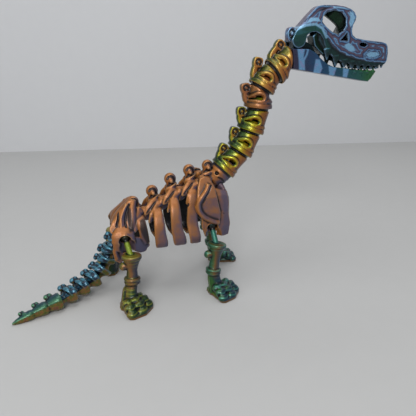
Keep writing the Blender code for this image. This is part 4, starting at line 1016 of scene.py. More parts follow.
def chest_skin():
    """Front of the trunk: neck stub, spine, shoulder blades, breast and sockets."""
    ahead = lean_vector(NECK_LEAN[0])
    dorsal = Vector((-ahead.z, 0.0, ahead.x))
    ball = side(NECK_BALLS[0])
    spine, tools = spine_shapes((72.5, 96.0), (73.6, 115.0), 5.1)
    stub = [(-15.0, 8.6), (-10.4, 9.3), (-9.4, 9.8), (-8.6, 9.9), (-7.8, 9.7), (-6.8, 9.9),
            (-5.4, 10.3)]
    shapes = [loft(turned_rings(ball, ahead, stub), 64),
              rod(side((79.0, 95.5)), side((69.0, 92.8)), 7.6, 5.6), *spine]
    blade = bend(plate(BLADE, -1.9, 1.9), BLADE_LEVELS, blade_depth)
    ridge = cord([on_blade(x, z, -0.5) for x, z in BLADE_RIDGE], 2.3)
    wall_outline = [(63.2, 96.0), (85.8, 91.0), (87.4, 80.0), (86.6, 74.6), (88.6, 62.0),
                    (87.6, 50.8), (84.0, 49.4), (66.4, 49.6), (62.8, 60.0), (62.4, 76.0)]
    flank = plate(wall_outline, -2.0, 2.0)
    bend(flank, (52, 56, 60, 66, 71, 76, 80, 84, 88, 92),
         lambda z: -ramp(z, [(49, 18.6), (60, 19.8), (76, 20.2), (88, 18.8), (96, 15.0)]))
    breast = limb([(84.8, -18.4, 69.0), (87.6, -13.0, 68.0), (89.0, -6.0, 66.0),
                   (89.4, 1.0, 65.6)], [17.0, 16.6, 16.0, 15.8], [2.6, 2.4, 2.3, 2.3],
                  UPWARD, 4.0, 36)
    collar = limb([(83.0, -17.4, 86.0), (84.8, -11.0, 87.0), (83.0, -5.0, 91.0),
                   (82.0, 0.0, 93.0)], [5.0, 5.0, 5.0, 5.0], [2.4, 2.6, 3.4, 3.4],
                  UPWARD, 2.0, 28)
    last_rib = limb(LAST_RIB, [3.0, 3.4, 3.4, 3.0, 3.0, 2.6], [2.4, 2.4, 2.0, 1.8, 1.8, 1.6],
                    FORWARD, 3.0, 28)
    # Two soft swellings down the breast.
    swell = [sphere((83.6, -15.8, 82.0), 5.0, (0.92, 1.02, 2.2)),
             sphere((84.4, -15.9, 60.4), 5.0, (0.92, 1.02, 2.2))]
    boss = sphere(LEGS["leg_fore_right"][0], LEG_SOCKET_R + 1.9)
    tools += both([groove([(80.6, -20.8, 72.8), (84.2, -20.6, 70.6), (88.8, -17.4, 69.8),
                           (91.0, -10.0, 69.6)], 0.8),
                   groove([on_blade(x, z, 0.3) for x, z in
                           ((71.0, 97.6), (68.4, 92.4), (65.0, 88.0), (63.0, 84.4))], 0.7)])
    shapes += both([blade, ridge, flank, *shoulder_shapes(), breast, collar, last_rib, boss, *swell])
    skin = fuse(shapes)
    rings = turned_rings(ball, ahead, ((-9.0, 8.8), (-5.6, NECK_WAIST_R - 0.1)))
    rings += ball_rings(ball, ahead, NECK_BALL_R, (-3.4, -1.4, 1.0, 3.4, 5.6, 7.4))
    skin = fuse([skin, loft(rings, 72), trunk_cup(0, (71.0, 93.6))])
    for hand in (-1.0, 1.0):
        deep = spot_on(ball, ahead, dorsal, -7.6, 4.6, 7.4, hand)
        out = spot_on(ball, ahead, dorsal, -7.6, 4.6, 13.0, hand)
        tools.append(rod(deep, out, 1.7))
        fold = [spot_on(ball, ahead, dorsal, a, u, 10.0, hand)
                for a, u in ((-9.6, 1.6), (-8.6, -1.6), (-9.0, -5.0), (-10.4, -7.0))]
        tools.append(groove(fold, 0.7))
    return carve(skin, [trunk_hollow(0, (71.0, 93.6)), *leg_sockets("fore"), *tools])


def pelvis_skin():
    """Hips: sacrum, spine, two blades with leg sockets, pubis and tail ball."""
    spine, tools = spine_shapes((3.0, 70.0), (8.0, 86.6), 4.8)
    shapes = [limb([(9.5, 0.0, 67.6), (2.0, 0.0, 66.0), (-4.0, 0.0, 60.0), (-7.0, 0.0, 54.0)],
                   [5.0, 6.4, 6.4, 5.0], [5.0, 6.0, 6.0, 4.6], ACROSS, 2.0, 32), *spine]
    ilium_outline = [(5.4, 85.8), (1.6, 84.4), (-6.4, 77.0), (-12.8, 70.2), (-15.8, 64.8),
                     (-15.0, 61.6), (-11.2, 60.0), (-13.4, 52.0), (-14.6, 45.0), (-13.4, 36.6),
                     (-9.4, 33.2), (-4.6, 36.4), (-1.6, 44.6), (0.4, 52.0), (1.4, 60.0),
                     (3.0, 68.0), (4.4, 76.0)]

    def depth(z):
        return -ramp(z, [(33, 17.2), (44, 18.4), (56, 18.4), (66, 14.6), (76, 8.2), (86, 3.2)])

    ilium = plate(ilium_outline, -2.1, 2.1)
    bend(ilium, (37, 40, 43, 46, 49, 52, 55, 58, 61, 64, 67, 70, 73, 76, 80), depth)
    rim = cord([Vector((x, depth(z) - 1.2, z)) for x, z in
                ((0.6, 82.0), (-3.0, 76.6), (-5.4, 71.0), (-5.8, 64.6), (-9.0, 60.0),
                 (-11.0, 52.0), (-12.0, 45.0), (-10.6, 38.0))], 1.9)
    saddle = limb([(5.0, -1.2, 84.0), (-2.6, -3.4, 77.4), (-8.6, -6.0, 71.4), (-12.0, -8.6, 66.0)],
                  [3.4, 5.4, 7.2, 7.6], [2.4, 3.0, 3.2, 2.6], ACROSS, 2.0, 24)
    crest = limb([(6.4, -3.0, 84.0), (4.6, -8.4, 78.0), (4.0, -13.0, 70.0), (2.0, -17.0, 60.0)],
                 [3.0, 3.4, 3.6, 3.2], [2.6, 2.8, 2.8, 2.4], FORWARD, 2.0, 24)
    bridge = limb([(-2.0, 0.0, 64.0), (-3.0, -8.0, 64.0), (-5.0, -15.0, 62.0)],
                  [7.0, 6.6, 6.0], [4.6, 4.0, 3.2], FORWARD, 2.0, 28)
    boss = sphere(LEGS["leg_hind_right"][0], LEG_SOCKET_R + 1.8)
    pubis = limb([(-1.0, -18.2, 53.6), (5.0, -17.4, 49.8), (10.8, -15.6, 46.4),
                  (15.0, -13.6, 45.0)], [4.4, 6.4, 6.8, 4.4], [2.0, 2.0, 1.9, 1.7],
                 UPWARD, 3.0, 28)
    share = limb([(14.4, -14.6, 45.4), (14.8, -9.0, 44.0), (14.4, -4.0, 43.4),
                  (14.4, 0.5, 43.2)], [3.0, 3.2, 3.2, 3.2], [1.8, 1.8, 1.8, 1.8],
                 FORWARD, 2.0, 20)
    band = limb([(10.0, -3.6, 69.6), (10.6, -11.0, 70.6), (11.4, -16.2, 66.0),
                 (12.6, -17.4, 58.0), (14.0, -15.4, 48.0)],
                [3.4, 3.8, 3.9, 3.9, 3.6], [2.2, 2.0, 1.7, 1.5, 1.6], FORWARD, 3.0, 28)
    pad = limb([(-5.6, -15.0, 64.6), (-5.2, -19.0, 60.0), (-5.0, -20.4, 53.0), (-7.0, -19.2, 45.0)],
               [5.0, 9.4, 10.0, 6.6], [2.4, 3.0, 3.2, 2.2], FORWARD, 2.6, 32)
    folds = [[(2.6, 82.0), (-0.8, 75.0), (-2.2, 69.0), (-1.6, 64.0)],
             [(-7.4, 79.4), (-7.6, 72.6), (-9.6, 66.4)]]
    tools += both([groove([Vector((x, depth(z) - 2.0, z)) for x, z in line], 0.85)
                   for line in folds])
    leaves = [leaf([(11.0, -6.0, 78.0), (9.2, -10.6, 73.0), (7.2, -15.0, 66.0), (5.0, -18.4, 60.6)],
                   [1.8, 3.4, 3.2, 0.8], [1.6, 2.0, 1.7, 0.7], (1.0, 0.2, -0.3)),
              sphere((11.6, -7.4, 74.0), 3.0)]
    shapes += both([*leaves, ilium, rim, saddle, pad, crest, bridge, boss, pubis, share, band])
    skin = carve(fuse(shapes), trunk_room(3) + tools)
    start = Vector(TAIL_BALLS[0])
    ahead = (start - Vector(TAIL_BALLS[1])).normalized()
    skin = fuse([skin, rod(start + ahead * 11.0, start, 4.6, 3.4), sphere(start, TAIL_BALL_R),
                 *trunk_ball(3, (8.2, 66.8))])
    return carve(skin, leg_sockets("hind"))


# ---- tail
def tail_dorsal(along, index):
    """The way a tail piece's spine points: up, then rolled away to the left."""
    lift = Vector((-0.55, 0.0, 1.0)) if along.z < -0.5 else UPWARD
    straight = (lift - along * lift.dot(along)).normalized()
    across = straight.cross(along)
    if across.y < 0.0:
        across = -across
    roll = math.radians(TAIL_ROLL[index])
    return straight * math.cos(roll) + across * math.sin(roll)


def socket_tool(low, along):
    """The round hollow at the open end of a tail piece."""
    return loft(ball_rings(low, along, TAIL_SOCKET_R, (-3.4, -0.1, 1.6, 3.2, 4.4, 5.3),
                           along.orthogonal(), straight=True))


def tail_knob(foot, dorsal, along, reach, size):
    """A tail spine that ends in two lobes, and the notch between them."""
    crown = foot + dorsal * (reach - size * 0.7) + along * 1.0
    across = dorsal.cross(along)
    stalk = limb([foot + dorsal * (reach * 0.34), foot + dorsal * (reach - size) + along * 0.8],
                 [size, size * 0.72], [size * 0.86, size * 0.66], across, 2.0, 24)
    lobes = [sphere(crown + along * (size * 0.36), size * 0.78),
             sphere(crown - along * (size * 0.44) + dorsal * 0.1, size * 0.74)]
    notch = knots(crown, (across * size, dorsal * size, along * size),
                  [(0.95 * math.cos(a), 0.86 * math.sin(a), -0.05)
                   for a in (-0.5, 0.4, 1.3, 1.9, 2.8, 3.6)])
    return [stalk, *lobes], groove(notch, 0.55)


def tail_skin(index):
    """A flared tail link with a flat belly, a two-lobed spine and side folds."""
    low = Vector(TAIL_BALLS[index])
    high = Vector(TAIL_BALLS[index + 1])
    along = (high - low).normalized()
    length = (high - low).length
    dorsal = tail_dorsal(along, index)
    across = dorsal.cross(along)
    flare = TAIL_FLARE[index]
    rings = []
    for z, r in ((-1.0, 0.93), (-0.6, 0.98), (0.6, 1.0), (1.2, 0.985), (2.0, 0.93), (2.7, 0.94),
                 (3.4, 0.90), (length - 6.4, 0.70), (length - 4.4, 0.50)):
        rings.append(section(low + along * z, along, across, flare * r, flare * r, 2.0, TAIL_SHAPE))
    link = [loft(rings, 56), rod(high - along * 4.8, high, flare * 0.44, 3.6),
            sphere(high, TAIL_BALL_R)]
    foot = low + along * (length * TAIL_SPINE_AT[index])
    knob, notch = tail_knob(foot, dorsal, along, flare + 1.4, TAIL_SPINE_R[index])
    link += knob
    for hand in (-1.0, 1.0):
        wing = knots(foot, (dorsal, across * hand, along),
                     [(flare * 0.70, 2.0), (flare * 0.60, flare * 0.56, 0.9),
                      (flare * 0.20, flare * 0.84, 0.3), (-flare * 0.26, flare * 0.80, -0.8)])
        link.append(limb(wing, [1.6, 1.9, 1.6, 0.8], [1.2, 1.4, 1.2, 0.6], along, 2.0, 16))
    return carve(fuse(link), [socket_tool(low, along), notch])


def tip_skin():
    """The pointed end of the tail: three fused flares on one flat belly."""
    low = Vector(TAIL_BALLS[-1])
    high = Vector(TAIL_TIP)
    along = (high - low).normalized()
    dorsal = tail_dorsal(along, 7)
    across = dorsal.cross(along)
    length = (high - low).length
    shape = [(-1.0, 8.2), (-0.4, 8.7), (1.4, 8.8), (2.8, 8.5), (4.2, 8.1), (7.0, 7.0), (10.2, 5.6),
             (11.4, 6.5), (12.4, 6.9), (15.0, 6.6), (19.0, 5.4), (22.2, 4.4), (23.4, 5.0),
             (24.4, 5.2), (27.0, 4.8), (31.0, 3.8), (35.0, 2.7), (length, 0.9)]
    parts = [loft([section(low + along * z, along, across, r, r, 2.0, TAIL_SHAPE)
                   for z, r in shape], 56)]
    tools = [socket_tool(low, along), block((-130.0, -90.0, -12.0), (-20.0, 60.0, 0.0))]
    for z, r, tall in ((6.0, 3.1, 9.6), (17.3, 2.6, 7.8), (29.0, 2.2, 6.2)):
        foot = low + along * z
        knob, notch = tail_knob(foot, dorsal, along, tall, r)
        parts += knob
        tools.append(notch)
        for hand in (-1.0, 1.0):
            wing = knots(foot, (dorsal, across * hand, along),
                         [(tall * 0.62, 1.4), (tall * 0.40, tall * 0.50, -1.4),
                          (tall * 0.06, tall * 0.62, -3.0)])
            parts.append(limb(wing, [1.4, 1.3, 0.7], [1.0, 1.0, 0.5], along, 2.0, 14))
    return carve(fuse(parts), tools)


# ---- legs
def leg_point(hand, ball, offset, turn):
    """A point of a leg's drawing, mirrored for the left and turned on its ball."""
    x, y, z = offset
    if hand == "left":
        y = -y
    a = math.radians(turn)
    return Vector(ball) + Vector((x * math.cos(a) - y * math.sin(a),
                                  x * math.sin(a) + y * math.cos(a), z))


def leg_skin(name):
    """A leg: ball and rod, cupped disk, shaft, knee ring, shank and knuckled foot."""
    ball, shape, turn = LEGS[name]
    hand = name.split("_")[-1]
    swing = -1.0 if hand == "left" else 1.0
    disk, knee, toes = [leg_point(hand, ball, p, turn) for p in shape[:3]]
    heading = math.radians(swing * shape[3] + turn)
    aim = Vector((math.cos(heading), math.sin(heading), 0.0))
    left = Vector((-aim.y, aim.x, 0.0)) * swing
    back = Vector((-math.cos(math.radians(turn)), -math.sin(math.radians(turn)), 0.0))
    up = UPWARD
    down = (knee - disk).normalized()
    across = down.orthogonal()
    cap = disk - down * 1.4
    rings = [(-1.8, DISK_R - 0.9), (-1.3, DISK_R - 0.2), (0.2, DISK_R), (1.0, DISK_R - 0.1),
             (1.6, DISK_R - 1.0), (2.6, DISK_R - 1.2), (4.4, DISK_R - 2.2), (7.6, 5.4),
             (10.0, 4.4)]
    parts = [loft(turned_rings(cap, down, rings, across), 48)]
    middle = (disk + knee) / 2
    girth = [6.0, 5.4, 4.4, 4.9, 6.0]
    parts.append(limb([disk, disk + down * 5.0, middle + down * 1.0, knee - down * 3.4, knee],
                      girth, girth, ACROSS, 2.0, 32))
    parts.append(sphere(disk + down * 6.4 + back * 7.0, 3.6))
    parts.append(sphere(disk + down * 5.4 + back * 4.2, 3.6))
    for a, r in ((-1.5, 7.1), (1.3, 6.9)):
        bead = ((-1.3, 0.88), (-0.7, 0.97), (0.0, 1.0), (0.7, 0.97), (1.3, 0.88))
        parts.append(loft(turned_rings(knee, down, [(a + h, r * k) for h, k in bead], across), 48))
    heel = toes - aim * 17.0
    heel.z = 0.0
    middle = (knee + heel) / 2 + up * 2.6 + back * 1.0
    shank = ((knee, 5.4, 5.2), (knee * 0.7 + middle * 0.3, 5.5, 4.7), (middle, 6.5, 5.1),
             (heel + up * 5.0, 8.3, 6.5), (heel - up * 1.5, 9.1, 7.5))
    parts.append(loft([section(place, up, aim, wide, tall) for place, wide, tall in shank], 40))
    # Flutes down the heel, like the pleats of a skirt.
    for k in range(-3, 4):
        a = math.radians(k * 24.0)
        way = -aim * math.cos(a) + left * math.sin(a)
        parts.append(limb([middle + way * 5.2 + up * 3.0, heel + way * 6.6 + up * 6.0,
                           heel + way * 8.0 + up * 0.4],
                          [0.9, 1.1, 1.2], [0.7, 0.8, 0.9], aim, 2.0, 12))
    floor = Vector((toes.x, toes.y, 0.0))
    sole = []
    for level, grow in ((-1.5, 0.0), (1.6, 0.0), (3.4, -0.5)):
        sole.append([floor + aim * (u - grow * 0.6) + left * v * (1.0 + grow * 0.06) + up * level
                     for u, v in ((-26.4, -3.4), (-13.0, -9.4), (-3.4, -12.6), (-0.6, -11.0),
                                  (2.4, 0.0), (-0.6, 11.0), (-3.4, 12.6), (-13.0, 9.4),
                                  (-26.4, 3.4))])
    parts.append(outline_loft(sole))
    creases = []
    for v, ahead, spread in ((-9.3, -4.4, -22.0), (0.0, -1.6, 0.0), (9.3, -4.4, 22.0)):
        a = math.radians(spread)
        way = aim * math.cos(a) + left * math.sin(a)
        wide = Vector((-way.y, way.x, 0.0))
        tip = floor + aim * ahead + left * v
        for back_by, lift, r in ((8.6, 8.0, 4.5), (4.0, 6.2, 4.6), (0.0, 2.6, 4.3)):
            knuckle = tip - way * back_by + up * lift
            parts.append(sphere(knuckle, r * 0.97))
            for s in (-1.0, 1.0):
                parts.append(sphere(knuckle + wide * s * r * 0.52 + up * r * 0.22, r * 0.62))
        for back_by, lift in ((6.2, 9.8), (1.6, 7.2)):
            spot = tip - way * back_by + up * lift
            line = [(-4.6, -3.0), (-2.4, 0.0), (0.0, 0.4), (2.4, 0.0), (4.6, -3.0)]
            creases.append(groove(knots(spot, (wide, up), line), 0.75))
    skin = carve(fuse(parts), creases)
    skin = fuse([skin, rod(disk, ball, LEG_ROD_R + 0.2, LEG_ROD_R), sphere(ball, LEG_BALL_R)])
    return carve(skin, [block((-160.0, -140.0, -20.0), (260.0, 140.0, 0.0))])


# ---- materials
def linear(code):
    """An sRGB hex colour as linear light."""
    parts = [int(code[i:i + 2], 16) / 255.0 for i in (1, 3, 5)]
    return tuple(p / 12.92 if p <= 0.04045 else ((p + 0.055) / 1.055) ** 2.4 for p in parts) + (1.0,)


def add(tree, kind, links=None, **settings):
    """Adds one node with its settings, values and links."""
    made = tree.nodes.new(kind)
    for name, value in settings.items():
        setattr(made, name, value)
    for socket, source in (links or {}).items():
        if isinstance(source, bpy.types.NodeSocket):
            tree.links.new(source, made.inputs[socket])
        else:
            made.inputs[socket].default_value = source
    return made


def chosen(name):
    """A colour from the settings."""
    return tuple(getattr(bpy.context.scene.skeleton_colours, name))


def fill(node, stops):
    """Sets the colours of a ramp from (place, hex) pairs and returns its colour socket."""
    band = node.color_ramp
    band.interpolation = "EASE"
    while len(band.elements) > 1:
        band.elements.remove(band.elements[-1])
    band.elements[0].position = stops[0][0]
    band.elements[0].color = linear(stops[0][1])
    for place, code in stops[1:]:
        band.elements.new(place).color = linear(code)
    return node.outputs["Color"]


def begin(name):
    """A material with an empty node tree, the tree and its coordinates."""
    material = bpy.data.materials.new(name)
    material.use_nodes = True
    tree = material.node_tree
    tree.nodes.clear()
    place = add(tree, "ShaderNodeTexCoord")
    return material, tree, place


def drift(tree, place, size_mm, amount, detail=2.0):
    """A slow wander about zero, with patches of the size given in millimetres."""
    cloud = add(tree, "ShaderNodeTexNoise", {"Vector": place.outputs["Object"],
                                             "Scale": 1000.0 / size_mm, "Detail": detail,
                                             "Roughness": 0.5})
    centred = add(tree, "ShaderNodeMath", {0: cloud.outputs["Fac"], 1: 0.5}, operation="SUBTRACT")
    return add(tree, "ShaderNodeMath", {0: centred.outputs[0], 1: amount},
               operation="MULTIPLY").outputs[0]


def turned(tree, place, aim, wander, run=(0.0, 0.0, 0.0), centre=(0.0, 0.0, 0.0)):
    """The place in a ramp that a face's direction and its position along the print give."""
    lean = add(tree, "ShaderNodeVectorMath", {0: place.outputs["Normal"], 1: aim},
               operation="DOT_PRODUCT")
    away = add(tree, "ShaderNodeVectorMath", {0: place.outputs["Object"], 1: metres(centre)},
               operation="SUBTRACT")
    along = add(tree, "ShaderNodeVectorMath", {0: away.outputs[0], 1: run}, operation="DOT_PRODUCT")
    half = add(tree, "ShaderNodeMath", {0: lean.outputs["Value"], 1: 0.5, 2: 0.5},
               operation="MULTIPLY_ADD")
    total = add(tree, "ShaderNodeMath", {0: half.outputs[0], 1: along.outputs["Value"]},
                operation="ADD")
    return add(tree, "ShaderNodeMath", {0: total.outputs[0], 1: wander}, operation="ADD").outputs[0]


def contours(tree, place, axis, step_mm, width, shallow, wander):
    """Layer edges that open out into contour lines where a face lies along the layers."""
    level = add(tree, "ShaderNodeVectorMath", {0: place.outputs["Object"], 1: axis},
                operation="DOT_PRODUCT")
    count = add(tree, "ShaderNodeMath", {0: level.outputs["Value"], 1: 1000.0 / step_mm, 2: wander},
                operation="MULTIPLY_ADD")
    wave = add(tree, "ShaderNodeMath", {0: count.outputs[0], 1: 1.0}, operation="PINGPONG")
    edge = add(tree, "ShaderNodeMapRange", {"Value": wave.outputs[0], "From Min": 1.0 - width,
                                            "From Max": 1.0 - width * 0.3},
               interpolation_type="SMOOTHSTEP")
    lean = add(tree, "ShaderNodeVectorMath", {0: place.outputs["Normal"], 1: axis},
               operation="DOT_PRODUCT")
    facing = add(tree, "ShaderNodeMath", {0: lean.outputs["Value"]}, operation="ABSOLUTE")
    flat = add(tree, "ShaderNodeMapRange", {"Value": facing.outputs[0], "From Min": shallow,
                                            "From Max": min(shallow + 0.25, 1.0)},
               interpolation_type="SMOOTHSTEP")
    return add(tree, "ShaderNodeMath", {0: edge.outputs[0], 1: flat.outputs[0]},
               operation="MULTIPLY").outputs[0]


# Ramps of the filament's colours, from a face turned one way to a face turned the other.
COPPER = [(0.05, "#7c4c1e"), (0.28, "#9a6028"), (0.46, "#985e2e"), (0.57, "#885a3a"),
          (0.66, "#6a5054"), (0.77, "#4c4860"), (0.92, "#3a3c56")]
COPPER_NECK = [(0.05, "#5c4018"), (0.24, "#8c5a2a"), (0.46, "#965c34"), (0.58, "#7c503c"),
               (0.70, "#5c4a54"), (0.92, "#403e5a")]
GOLD_COPPER = [(0.05, "#36430f"), (0.16, "#6f681a"), (0.28, "#a07c26"), (0.42, "#a46a30"),
               (0.60, "#905529"), (0.86, "#704634"), (0.97, "#484050")]
GREEN_GOLD = [(0.04, "#1a2c12"), (0.16, "#2e4a14"), (0.28, "#66700f"), (0.40, "#a89a18"),
              (0.50, "#a8801f"), (0.60, "#98622a"), (0.80, "#86522e"), (0.97, "#5c4440")]
# In the navy ramp the narrow cyan bands near the top are painted highlights on the faces that look up.
NAVY = [(0.0, "#6c4a28"), (0.07, "#5c4c24"), (0.12, "#384424"), (0.17, "#121c24"),
        (0.34, "#141e2e"), (0.50, "#18293c"), (0.60, "#2a5870"), (0.66, "#172636"),
        (0.80, "#1c3c52"), (0.88, "#4a8498"), (0.95, "#1a2c3e")]
GREEN_TIP = [(0.0, "#6c4a28"), (0.07, "#66541f"), (0.13, "#44501f"), (0.20, "#1e3622"),
             (0.40, "#20462f"), (0.62, "#2c5c40"), (0.82, "#234e4a"), (0.95, "#1c3a4a")]
BELLY = [(0.1, "#3c4a1e"), (0.40, "#5c5c20"), (0.60, "#7c5a2a"), (0.85, "#6a4632")]
HIND = [(0.02, "#303c18"), (0.18, "#5e541e"), (0.34, "#7c5626"), (0.48, "#744c2c"),
        (0.60, "#50443f"), (0.80, "#30344a")]
HIND_FOOT = [(0.02, "#6c5220"), (0.20, "#6c5e1c"), (0.34, "#465016"), (0.48, "#223c18"),
             (0.66, "#163426"), (0.90, "#162c38")]
FORE = [(0.02, "#1e4a34"), (0.20, "#2c5636"), (0.34, "#46562a"), (0.48, "#6c4e26"),
        (0.64, "#4c403a"), (0.84, "#243a50")]
FORE_FOOT = [(0.02, "#4e6a1c"), (0.20, "#2c5c22"), (0.34, "#1c4230"), (0.48, "#16343e"),
             (0.70, "#1c3048"), (0.92, "#202c42")]


def overlay(tree, colour, *coats):
    """Lays coats over a colour: each is a mask, or the name of a piece's marks, and a colour."""
    for mask, over in coats:
        if isinstance(mask, str):
            mask = add(tree, "ShaderNodeAttribute", attribute_name=mask).outputs["Fac"]
        if isinstance(over, str):
            over = linear(over)
        colour = add(tree, "ShaderNodeMix", {0: mask, 6: colour, 7: over},
                     data_type="RGBA").outputs[2]
    return colour


# Printed layers are 0.2 mm high; each ridge and each dip is drawn this wide so that they show.
LAYER_MM = 0.4
# Size of the soft spots that the pearl pigment makes.
PEARL_MM = 2.381
# Painted shade darkens a crease over these depths, and a painted highlight lightens a ridge over these
# heights, in millimetres.
CREASE_SHADE_MM = (-0.03, 0.19)
RIDGE_HIGHLIGHT_MM = (-0.14, -0.50)
# Size of the tooth of studio paper, drawn coarse so that it shows.
TOOTH_MM = 16.667


def sheen_of_silk(tree, place, colour, metal, rough, coat, layer_axis=(0.0, 0.0, 1.0),
                  shade="#0c0d13", edge=None):
    """The surface of silk filament: pearl pigment under clear plastic, laid in fine threads,
    with painted shade in creases and a painted highlight along ridges."""
    fold = add(tree, "ShaderNodeAttribute", attribute_name="fold").outputs["Fac"]
    crease_shade = add(tree, "ShaderNodeMapRange", {"Value": fold, "From Min": CREASE_SHADE_MM[0],
                                              "From Max": CREASE_SHADE_MM[1], "To Max": 0.92},
                 interpolation_type="SMOOTHSTEP")
    # Painted highlight along ridges, in the edge colour.
    if edge:
        ridge = add(tree, "ShaderNodeMapRange", {"Value": fold, "From Min": RIDGE_HIGHLIGHT_MM[0],
                                                 "From Max": RIDGE_HIGHLIGHT_MM[1], "To Max": 0.55},
                    interpolation_type="SMOOTHSTEP")
        colour = overlay(tree, colour, (ridge.outputs[0], edge))
    # Painted shade in creases, in the shade colour.
    colour = overlay(tree, colour, (crease_shade.outputs[0], shade))
    level = add(tree, "ShaderNodeVectorMath", {0: place.outputs["Object"], 1: layer_axis},
                operation="DOT_PRODUCT")
    thread = add(tree, "ShaderNodeMath", {0: level.outputs["Value"], 1: 1000.0 / LAYER_MM},
                 operation="MULTIPLY")
    wave = add(tree, "ShaderNodeMath", {0: thread.outputs[0], 1: 1.0}, operation="PINGPONG")
    grain = add(tree, "ShaderNodeTexNoise", {"Vector": place.outputs["Object"],
                                             "Scale": 1000.0 / PEARL_MM, "Detail": 3.0})
    height = add(tree, "ShaderNodeMath", {0: grain.outputs["Fac"], 1: 0.8, 2: wave.outputs[0]},
                 operation="MULTIPLY_ADD")
    bump = add(tree, "ShaderNodeBump", {"Height": height.outputs[0], "Strength": 0.32,
                                        "Distance": 0.00012})
    uneven = add(tree, "ShaderNodeMapRange", {"Value": grain.outputs["Fac"], "From Min": 0.3,
                                              "From Max": 0.7, "To Min": rough - 0.05,
                                              "To Max": rough + 0.07})
    skin = add(tree, "ShaderNodeBsdfPrincipled", {"Base Color": colour, "Metallic": metal,
                                                  "Roughness": uneven.outputs[0],
                                                  "Normal": bump.outputs[0],
                                                  "Coat Weight": coat, "Coat Roughness": 0.2})
    add(tree, "ShaderNodeOutputMaterial", {"Surface": skin.outputs[0]})


def level_share(tree, place, low_mm, high_mm):
    """0 above one height and 1 below another, with a soft change between."""
    height = add(tree, "ShaderNodeSeparateXYZ", {0: place.outputs["Object"]}).outputs["Z"]
    return add(tree, "ShaderNodeMapRange", {"Value": height, "From Min": high_mm * MM,
                                            "From Max": low_mm * MM},
               interpolation_type="SMOOTHSTEP").outputs[0]


def two_colour_silk(name, stops, aim, wander=0.22, patch_mm=14.0, lines=None, metal=0.5, rough=0.34,
                    coat=0.2, edge=None, foot=None, inner=None, patch=None, shade="#0c0d13",
                    sole=None):
    """Printed silk PLA: two pearl colours side by side in the filament, so each face's
    direction picks its colour, with a soft metal glow.  foot is (low, high, stops) for another
    pair of colours near the floor, inner is a colour or ramp of painted shade for faces marked
    inner, patch is a colour or ramp for marked faces, edge is the painted highlight along
    ridges, shade is the painted shade in creases, and sole is the colour of the first layers."""
    material, tree, place = begin(name)
    at = turned(tree, place, aim, drift(tree, place, patch_mm, wander))
    colour = fill(add(tree, "ShaderNodeValToRGB", {"Fac": at}), stops)
    if foot:
        low, high, others = foot
        other = fill(add(tree, "ShaderNodeValToRGB", {"Fac": at}), others)
        colour = overlay(tree, colour, (level_share(tree, place, low, high), other))
    if lines:
        axis, step_mm, width, shallow, code, strength = lines
        rim = contours(tree, place, axis, step_mm, width, shallow, drift(tree, place, 9.0, 1.4))
        soft = add(tree, "ShaderNodeMath", {0: rim, 1: strength}, operation="MULTIPLY")
        colour = overlay(tree, colour, (soft.outputs[0], code))
    for label, code in (("patch", patch), ("inner", inner)):
        if isinstance(code, list):
            spread = add(tree, "ShaderNodeMath", {0: drift(tree, place, 3.0, 1.6), 1: 0.5},
                         operation="ADD").outputs[0]
            code = fill(add(tree, "ShaderNodeValToRGB", {"Fac": spread}), code)
        if code:
            colour = overlay(tree, colour, (label, code))
    if sole:
        colour = overlay(tree, colour, (level_share(tree, place, 1.0, 2.6), sole))
    sheen_of_silk(tree, place, colour, metal, rough, coat, shade=shade, edge=edge)
    return material


def paint_inner_shade(tree, colour, code):
    """The colour and the metal, with painted shade in deeper green on the hidden inner faces, where
    more metal lets the dark colour dim their reflection too.
    """
    share = add(tree, "ShaderNodeAttribute", attribute_name="inner").outputs["Fac"]
    metal_with_painted_shade = add(tree, "ShaderNodeMapRange", {"Value": share, "To Min": 0.5, "To Max": 0.96})
    return overlay(tree, colour, (share, code)), metal_with_painted_shade.outputs[0]


def trunk_silk():
    """Printed silk PLA on the trunk, more matt: copper, with slate on the faces ahead, painted shade
    inside and in creases, and a painted highlight along ridges.
    """
    name = "silk_PLA_printed_copper"
    if name in bpy.data.materials:
        return bpy.data.materials[name]
    # inner is painted shade on the faces that look in and in the clefts, shade is painted shade in
    # creases, and edge is the painted highlight along ridges.
    return two_colour_silk(name, COPPER, (0.8, -0.25, -0.3), wander=0.24, patch_mm=7.0,
                           metal=0.4, rough=0.40, coat=0.1, inner="#100f16",
                           patch=chosen("slate"), edge="#b8905c", shade="#0e0c14")


